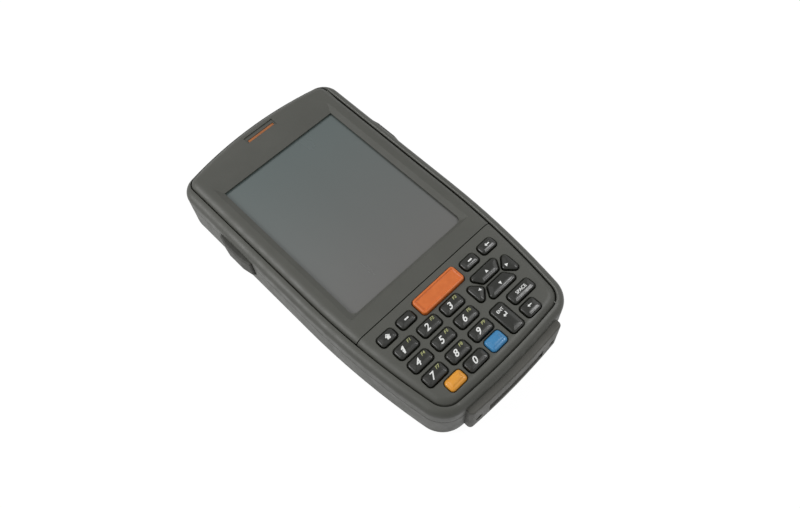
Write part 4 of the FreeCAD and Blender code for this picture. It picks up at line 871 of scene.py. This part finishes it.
@dataclass
class Keypad:
    """The keypad: the lower face part, its caps and their legends."""

    arrow_reach: float = 10.1
    arrow_tip: float = 4.6
    arrow_half: float = 5.5
    tall_outer: float = 5.75
    tall_inner: float = 0.72
    tall_wide: float = 7.2
    tall_narrow: float = 4.0
    digit_size: float = 2.6
    digit_lean: float = 0.3
    small_size: float = 1.25

    def arrow_corners(self) -> dict[str, list[Point2]]:
        """Returns the plan corners of the four arrow keys."""
        reach, tip, half = self.arrow_reach, self.arrow_tip, self.arrow_half
        outer, inner = self.tall_outer, self.tall_inner
        wide, narrow = self.tall_wide, self.tall_narrow
        offsets = {
            "key_left": [(-reach, -half), (-tip, 0.0), (-reach, half)],
            "key_right": [(reach, half), (tip, 0.0), (reach, -half)],
            "key_up": [(-narrow, inner), (narrow, inner), (wide, outer), (-wide, outer)],
            "key_down": [(-wide, -outer), (wide, -outer), (narrow, -inner), (-narrow, -inner)],
        }
        middle = (centre_of("key_up") + centre_of("key_down")) / 2
        centre_x, centre_y = middle.x / MM, middle.y / MM
        return {name: [(centre_x + x, centre_y + y) for x, y in corners]
                for name, corners in offsets.items()}

    def caps(self) -> list[KeyCap]:
        """Returns every key cap of the keypad."""
        caps = [
            KeyCap("key_home", [Legend(Icon.HOUSE, 0.3, 0.0, 2.1)]),
            KeyCap("key_dash_left", [Legend(Icon.DASH, 0.3, 0.1, 1.8)]),
            KeyCap("key_dash_right", [Legend(Icon.DASH, 0.3, 0.1, 1.8)]),
            KeyCap("key_back", [Legend(Icon.BACK, 0.2, 0.2, 2.1)]),
            KeyCap("key_scan", finish=Finish.KEY_ORANGE, raised_rim=0.4, crown=0.7, dome=0.1),
            KeyCap("key_amber", finish=Finish.KEY_AMBER, dome=0.45, crown=1.1),
            KeyCap("key_blue", finish=Finish.KEY_BLUE, dome=0.45, crown=1.1),
            KeyCap("key_enter", [
                Legend("ENT", 0.0, 3.2, 1.15), Legend(Icon.ENTER, 0.1, 1.0, 1.9)]),
            KeyCap("key_space", [Legend("SPACE", 0.2, 0.3, 1.25)]),
            KeyCap("key_erase", [Legend(Icon.BACK, 0.1, 0.6, 1.9)]),
            KeyCap("key_0", [Legend("0", -0.7, 0.0, self.digit_size, lean=self.digit_lean)]),
        ]
        for digit in range(1, 10):
            sign = Icon.ONE if digit == 1 else str(digit)
            caps.append(KeyCap(f"key_{digit}", [
                Legend(sign, -1.3, -0.1, self.digit_size, lean=self.digit_lean),
                Legend(f"F{digit}", 2.2, 1.15, self.small_size, Finish.YELLOW_INK, 0.02,
                       self.digit_lean)]))
        signs = {"key_left": (Icon.LEFT, 0.6, 0.0), "key_right": (Icon.RIGHT, -0.6, 0.0),
                 "key_up": (Icon.UP, 0.0, 0.1), "key_down": (Icon.DOWN, 0.0, -0.1)}
        for name, corners in self.arrow_corners().items():
            icon, across, along = signs[name]
            caps.append(KeyCap(name, [Legend(icon, across, along, 1.3)], shape=CapShape.ARROW,
                               corners=corners, flange_side=0.4))
        return caps

    def build(self) -> None:
        """Builds the lower face part and every cap."""
        dress("keypad_bezel", Finish.HOUSING, 28.0)
        for cap in self.caps():
            cap.build()
            LOG.info("built %s", cap.node)


@dataclass
class Display:
    """The upper face part with the screen, its gasket and the indicator."""

    def build(self) -> None:
        """Dresses the display's pieces."""
        dress("display_bezel", Finish.HOUSING, 12.0)
        dress("touch_panel", Finish.SCREEN)
        dress("light_pipe", Finish.AMBER_LENS)
        paint("touch_gasket", Finish.SEAL)
        paint("lcd_module", Finish.ALLOY)
        LOG.info("built the display")


class Repeater:
    """A geometry node group that stands copies of one mesh on a mesh's vertices."""

    def __init__(self, name: str) -> None:
        """Builds the group under this name."""
        self.group = bpy.data.node_groups.new(name, "GeometryNodeTree")
        face = self.group.interface
        for name, kind in (("Geometry", "Geometry"), ("Copy", "Object"), ("Scale", "Float"),
                           ("Finish", "Material")):
            face.new_socket(name, in_out="INPUT", socket_type=f"NodeSocket{kind}")
        face.new_socket("Geometry", in_out="OUTPUT", socket_type="NodeSocketGeometry")
        source, target, points, copied, placed, real, finish = (
            self.group.nodes.new(kind) for kind in (
                "NodeGroupInput", "NodeGroupOutput", "GeometryNodeMeshToPoints",
                "GeometryNodeObjectInfo", "GeometryNodeInstanceOnPoints",
                "GeometryNodeRealizeInstances", "GeometryNodeSetMaterial"))
        for start, out, end, into in (
                (source, "Geometry", points, "Mesh"), (source, "Copy", copied, "Object"),
                (points, "Points", placed, "Points"), (copied, "Geometry", placed, "Instance"),
                (source, "Scale", placed, "Scale"), (placed, "Instances", real, "Geometry"),
                (real, "Geometry", finish, "Geometry"), (source, "Finish", finish, "Material"),
                (finish, "Geometry", target, "Geometry")):
            self.group.links.new(start.outputs[out], end.inputs[into])

    def spread(self, name: str, places: list[Vector], copy_mesh: Mesh,
               finish: Finish) -> Object:
        """Stands a copy of a mesh at each place and makes one real mesh of them.

        Args:
            name: The new object's name.
            places: Where the copies stand.
            copy_mesh: The mesh to repeat.
            finish: The finish of the copies.

        Returns:
            The object with every copy in one mesh.
        """
        single = stand(f"{name}_single", copy_mesh)
        seeds = bpy.data.meshes.new(f"{name}_places")
        seeds.from_pydata([tuple(place) for place in places], [], [])
        holder = stand(f"{name}_holder", seeds)
        modifier = holder.modifiers.new("repeat", "NODES")
        modifier.node_group = self.group
        values = {"Copy": single, "Scale": 1.0, "Finish": SHELF.get(finish)}
        for item in self.group.interface.items_tree:
            if item.in_out == "INPUT" and item.name in values:
                modifier[item.identifier] = values[item.name]
        mesh = real_mesh(holder)
        holder.modifiers.clear()
        bpy.data.objects.remove(holder)
        bpy.data.objects.remove(single)
        return link_mesh(name, mesh, finish)


def island_centres(node: str) -> list[Vector]:
    """Returns the middle of the box of each loose part of a solid's mesh."""
    work = opened(frame["nodes"][node].data)
    bmesh.ops.remove_doubles(work, verts=work.verts, dist=MERGE)
    waiting = set(work.verts)
    centres = []
    while waiting:
        stack, part = [waiting.pop()], []
        while stack:
            vertex = stack.pop()
            part.append(vertex.co.copy())
            for edge in vertex.link_edges:
                other = edge.other_vert(vertex)
                if other in waiting:
                    waiting.remove(other)
                    stack.append(other)
        low = Vector([min(point[axis] for point in part) for axis in range(3)])
        high = Vector([max(point[axis] for point in part) for axis in range(3)])
        centres.append((low + high) / 2)
    work.free()
    return sorted(centres, key=lambda place: (place.y, place.x))


@dataclass
class Screws:
    """The six housing screws, each with a six-lobed recess in its head."""

    head_radius: float = 1.7
    shank_radius: float = 0.95
    head_height: float = 1.4
    recess_depth: float = 0.9
    recess_outer: float = 0.95
    recess_inner: float = 0.68
    recess_floor: float = 0.3
    lip_height: float = 0.08
    lip_flare: float = 1.07
    edge_break: float = 0.18
    lobes: int = 6
    steps: int = 48

    def lobed(self, angle: float) -> float:
        """Returns the recess's radius at an angle."""
        middle = (self.recess_outer + self.recess_inner) / 2
        swing = (self.recess_outer - self.recess_inner) / 2
        return middle + swing * math.cos(self.lobes * angle)

    def single(self, half_height: float) -> Mesh:
        """Returns one screw round the origin, its head downwards.

        Args:
            half_height: Half the screw's length, in metres.

        Returns:
            The screw's mesh.
        """
        half = half_height / MM
        foot = -half
        profile = [(None, self.recess_floor, foot + self.recess_depth),
                   (None, 1.0, foot + self.recess_depth),
                   (None, 1.0, foot + self.lip_height), (None, self.lip_flare, foot),
                   (self.head_radius - self.edge_break, 0.0, foot),
                   (self.head_radius, 0.0, foot + self.edge_break),
                   (self.head_radius, 0.0, foot + self.head_height),
                   (self.shank_radius, 0.0, foot + self.head_height),
                   (self.shank_radius, 0.0, half)]
        rings = []
        for radius, share, height in profile:
            ring = []
            for step in range(self.steps):
                angle = math.tau * step / self.steps
                reach = radius if radius is not None else self.lobed(angle) * share
                ring.append(mm(reach * math.cos(angle), reach * math.sin(angle), height))
            rings.append(ring)
        mesh = shell_from_rings("screw", rings)
        soften(mesh, 35.0, FINE_MERGE)
        return mesh

    def build(self, repeater: Repeater) -> None:
        """Builds the screws in their solids' place.

        Args:
            repeater: The node group that repeats a mesh.
        """
        low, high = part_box("housing_screws")
        piece = repeater.spread("housing_screws_dressed", island_centres("housing_screws"),
                                self.single((high[2] - low[2]) / 2), Finish.STEEL)
        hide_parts("housing_screws")
        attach(piece, HOUSING)
        LOG.info("built the screws")


@dataclass
class ContactPins:
    """The row of gilt contacts inside the dock connector."""

    count: int = 18
    pitch: float = 1.4
    half_size: tuple[float, float, float] = (0.3, 2.2, 0.16)
    rise: float = 0.9
    inset: float = 1.0
    tip_share: float = 0.45
    tip_start: float = 0.8

    def single(self) -> Mesh:
        """Returns one contact: a flat blade with a tapered tip."""
        half_x, half_y, half_z = self.half_size
        sections = [(-half_y, self.tip_share), (-half_y * self.tip_start, 1.0), (half_y, 1.0)]
        rings = []
        for y, share in sections:
            x, z = half_x * share, half_z * share
            rings.append([mm(x, y, z), mm(x, y, -z), mm(-x, y, -z), mm(-x, y, z)])
        return shell_from_rings("contact", rings)

    def build(self, repeater: Repeater) -> None:
        """Builds the row of contacts.

        Args:
            repeater: The node group that repeats a mesh.
        """
        low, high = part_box("dock_connector")
        depth = high[1] - (self.inset + self.half_size[1]) * MM
        level = (low[2] + high[2]) / 2 - self.rise * MM
        start = (low[0] + high[0]) / 2 - self.pitch * (self.count - 1) / 2 * MM
        places = [Vector((start + self.pitch * number * MM, depth, level))
                  for number in range(self.count)]
        piece = repeater.spread("dock_contacts", places, self.single(), Finish.GOLD)
        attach(piece, HOUSING)
        LOG.info("built the contacts")


@dataclass
class Housing:
    """Both housing halves, the side buttons, the dock block and what shows of the back."""

    def build(self) -> None:
        """Dresses the housing's pieces."""
        finishes = {
            "rear_cover": Finish.HOUSING, "front_cover": Finish.HOUSING,
            "battery_door": Finish.HOUSING, "dock_cover": Finish.DOCK,
            "dock_connector": Finish.BLACK_PLASTIC, "left_side_button": Finish.BUTTON,
            "right_side_button": Finish.BUTTON, "scan_window": Finish.RED_WINDOW,
            "stylus": Finish.STYLUS,
        }
        for node, finish in finishes.items():
            dress(node, finish)
            LOG.info("dressed %s", node)
        repeater = Repeater("repeat_on_places")
        Screws().build(repeater)
        ContactPins().build(repeater)
        paint("housing_seal", Finish.SEAL)
        paint("door_hinge_pins", Finish.STEEL)
        paint("stylus_tube", Finish.BLACK_PLASTIC)
        paint("threaded_inserts", Finish.BRASS)
        LOG.info("built the housing")


@dataclass
class RimBead:
    """The thin raised line on the front cover, just outside the face's seam; its plastic is
    lighter than the housing's, a painted highlight along the line.
    """

    offset: float = 0.5
    half_width: float = 0.26
    height: float = 0.2
    sink: float = 0.05
    steps: int = 6
    spacing: float = 0.6
    seam_angle: float = 60.0
    level_slack: float = 0.01

    def seam_loop(self) -> list[Vector]:
        """Returns the front cover's inner edge at its rim as a closed run of points."""
        work = opened(frame["nodes"]["front_cover"].data)
        bmesh.ops.remove_doubles(work, verts=work.verts, dist=MERGE)
        work.verts.index_update()
        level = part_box("front_cover")[1][2]
        sharp = math.radians(self.seam_angle)
        edges = [edge for edge in work.edges
                 if all(abs(vertex.co.z - level) < self.level_slack * MM
                        for vertex in edge.verts)
                 and len(edge.link_faces) == 2 and edge.calc_face_angle(0.0) > sharp]
        links: dict[int, list[int]] = {}
        for edge in edges:
            first, second = (vertex.index for vertex in edge.verts)
            links.setdefault(first, []).append(second)
            links.setdefault(second, []).append(first)
        work.verts.ensure_lookup_table()
        start = next(iter(links))
        loop, before, here = [start], None, start
        while True:
            follower = next((index for index in links[here] if index != before), start)
            if follower == start or len(loop) > len(links):
                break
            loop.append(follower)
            before, here = here, follower
        points = [work.verts[index].co.copy() for index in loop]
        work.free()
        return points

    def evened(self, points: list[Vector], spacing: float) -> list[Vector]:
        """Returns a closed run of points at an even spacing.

        Args:
            points: The run's corners.
            spacing: The wanted distance between points, in metres.

        Returns:
            The new points.
        """
        lengths = [(points[number] - points[number - 1]).length for number in range(len(points))]
        total = sum(lengths)
        count = max(int(total / spacing), 3)
        result, passed, number = [], 0.0, 0
        for step in range(count):
            target = total * step / count
            while passed + lengths[number] < target:
                passed += lengths[number]
                number += 1
            share = (target - passed) / lengths[number] if lengths[number] else 0.0
            result.append(points[number - 1].lerp(points[number], share))
        return result

    def build(self) -> None:
        """Builds the bead along the seam."""
        points = self.evened(self.seam_loop(), self.spacing * MM)
        count = len(points)
        if polygon_area([(point.x, point.y) for point in points]) < 0:
            points.reverse()
        work = bmesh.new()
        rings = []
        for number, point in enumerate(points):
            run = (points[(number + 1) % count] - points[number - 1]).normalized()
            out = Vector((run.y, -run.x, 0.0))
            ring = []
            for step in range(self.steps + 1):
                angle = math.pi * step / self.steps
                aside = self.offset + self.half_width * math.cos(angle)
                rise = self.height * math.sin(angle) - self.sink
                ring.append(work.verts.new(point + out * aside * MM + mm(0.0, 0.0, rise)))
            rings.append(ring)
        for number in range(count):
            here, follower = rings[number], rings[(number + 1) % count]
            size = len(here)
            for step in range(size):
                after = (step + 1) % size
                work.faces.new((here[step], follower[step], follower[after], here[after]))
        bmesh.ops.recalc_face_normals(work, faces=work.faces)
        mesh = closed(work, bpy.data.meshes.new("rim_bead"))
        soften(mesh, 60.0, FINE_MERGE)
        # The bead's lighter plastic is a painted highlight.
        piece = link_mesh("rim_bead", mesh, Finish.RIM)
        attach(piece, HOUSING)
        LOG.info("built the rim bead")


@dataclass
class Electronics:
    """The sealed pieces inside the housing."""

    def build(self) -> None:
        """Gives every inner piece its finish."""
        finishes = {
            Finish.BOARD: ("main_board", "keypad_board"),
            Finish.ALLOY: ("mid_frame", "scan_bracket"),
            Finish.STEEL: ("shield_cans", "radio_module", "backup_cell", "card_socket",
                           "microphone"),
            Finish.SILICONE: ("keypad_mat",),
            Finish.BLACK_PLASTIC: ("side_switches", "scan_engine", "speaker",
                                   "battery_contacts"),
            Finish.BATTERY: ("battery_pack",),
            Finish.CERAMIC: ("status_led",),
        }
        for finish, nodes in finishes.items():
            for node in nodes:
                paint(node, finish)
        LOG.info("painted the inner pieces")


# Studio

@dataclass
class SoftLamp:
    """A rectangular soft lamp that points at the terminal."""

    name: str
    place: tuple[float, float, float]
    width: float
    height: float
    power: float
    colour: Colour = (1.0, 1.0, 1.0)

    def build(self, target: Vector) -> None:
        """Sets up the lamp.

        Args:
            target: The point that it faces.
        """
        lamp = bpy.data.lights.new(self.name, "AREA")
        lamp.shape = "RECTANGLE"
        lamp.size = self.width
        lamp.size_y = self.height
        lamp.energy = self.power
        lamp.color = self.colour
        holder = stand(self.name, lamp)
        holder.location = self.place
        view = target - Vector(self.place)
        holder.rotation_euler = view.to_track_quat("-Z", "Y").to_euler()


@dataclass
class Studio:
    """A pale floor and backdrop, soft lamps and an even sky."""

    floor_half: float = 3.0
    floor_grey: float = 0.4
    floor_glow: float = 1.2
    floor_share: float = 0.8
    sky: float = 0.29
    lamps: list[SoftLamp] = field(default_factory=lambda: [
        SoftLamp("overhead", (-0.20, 0.42, 0.78), 0.80, 0.60, 1.1),
        SoftLamp("left", (-0.56, 0.30, 0.40), 0.34, 0.34, 3.0),
        SoftLamp("front_right", (0.31, -0.24, 0.53), 0.16, 0.14, 1.3),
        SoftLamp("window_right", (0.52, -0.02, 0.46), 0.24, 0.20, 0.25),
    ])

    def unlit_ray(self, tree: bpy.types.NodeTree) -> Socket:
        """Returns 1 for camera, mirror and clear rays, which see plain white."""
        path = tree.nodes.new("ShaderNodeLightPath")
        total = path.outputs["Is Camera Ray"]
        for name in ("Is Glossy Ray", "Is Transmission Ray"):
            add = tree.nodes.new("ShaderNodeMath")
            add.operation = "MAXIMUM"
            tree.links.new(total, add.inputs[0])
            tree.links.new(path.outputs[name], add.inputs[1])
            total = add.outputs[0]
        return total

    def floor_material(self) -> Material:
        """Returns the floor's material: white, with the object's shadow left on it."""
        material = bpy.data.materials.new("pale_floor")
        material.use_nodes = True
        tree = material.node_tree
        tree.nodes.clear()
        output, matte, glow, mix, share = (tree.nodes.new(f"ShaderNode{kind}") for kind in (
            "OutputMaterial", "BsdfDiffuse", "Emission", "MixShader", "Math"))
        matte.inputs["Color"].default_value = (*(self.floor_grey,) * 3, 1.0)
        share.operation = "MULTIPLY"
        share.inputs[1].default_value = self.floor_share
        glow.inputs["Strength"].default_value = self.floor_glow
        for start, end in ((self.unlit_ray(tree), share.inputs[0]),
                           (share.outputs[0], mix.inputs["Fac"]),
                           (matte.outputs["BSDF"], mix.inputs[1]),
                           (glow.outputs["Emission"], mix.inputs[2]),
                           (mix.outputs["Shader"], output.inputs["Surface"])):
            tree.links.new(start, end)
        return material

    def build_world(self) -> None:
        """Sets an even sky that is white where the camera sees it."""
        world = bpy.data.worlds.new("studio_sky")
        world.use_nodes = True
        tree = world.node_tree
        background = tree.nodes["Background"]
        strength = tree.nodes.new("ShaderNodeMapRange")
        strength.inputs["To Min"].default_value = self.sky
        strength.inputs["To Max"].default_value = 1.0
        tree.links.new(self.unlit_ray(tree), strength.inputs["Value"])
        tree.links.new(strength.outputs["Result"], background.inputs["Strength"])
        background.inputs["Color"].default_value = (1.0, 1.0, 1.0, 1.0)
        bpy.context.scene.world = world

    def build(self, target: Vector) -> None:
        """Builds the floor, the sky and the lamps.

        Args:
            target: The point that the lamps face.
        """
        mesh = bpy.data.meshes.new("floor")
        half = self.floor_half
        mesh.from_pydata([(-half, -half, 0.0), (half, -half, 0.0), (half, half, 0.0),
                          (-half, half, 0.0)], [], [(0, 1, 2, 3)])
        floor = stand("floor", mesh)
        mesh.materials.append(self.floor_material())
        self.build_world()
        for lamp in self.lamps:
            lamp.build(target)
        LOG.info("built the studio")


@dataclass
class PhotoCamera:
    """The camera, placed as a fit to the photograph gives it."""

    place: tuple[float, ...] = (-0.08348708, -0.11064677, 0.25853104)
    turn: tuple[float, ...] = (28.72541856, 1.87116652, -44.54327468)
    lens: float = 33.3066

    def build(self) -> None:
        """Sets up the camera."""
        data = bpy.data.cameras.new("photo_camera")
        data.lens = self.lens
        data.sensor_width = 36.0
        data.clip_start = 0.005
        holder = stand("photo_camera", data)
        holder.location = self.place
        holder.rotation_euler = Euler([math.radians(angle) for angle in self.turn], "XYZ")
        bpy.context.scene.camera = holder
        LOG.info("placed the camera")


def main() -> None:
    """Builds the terminal, the studio and the camera in order."""
    logging.basicConfig(level=logging.INFO, format="%(name)s: %(message)s")
    bpy.context.scene.view_settings.view_transform = "Standard"
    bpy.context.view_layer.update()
    PhotoCamera().build()
    Housing().build()
    RimBead().build()
    Display().build()
    Keypad().build()
    Electronics().build()
    Studio().build(LAMP_TARGET)


if __name__ == "__main__":
    main()
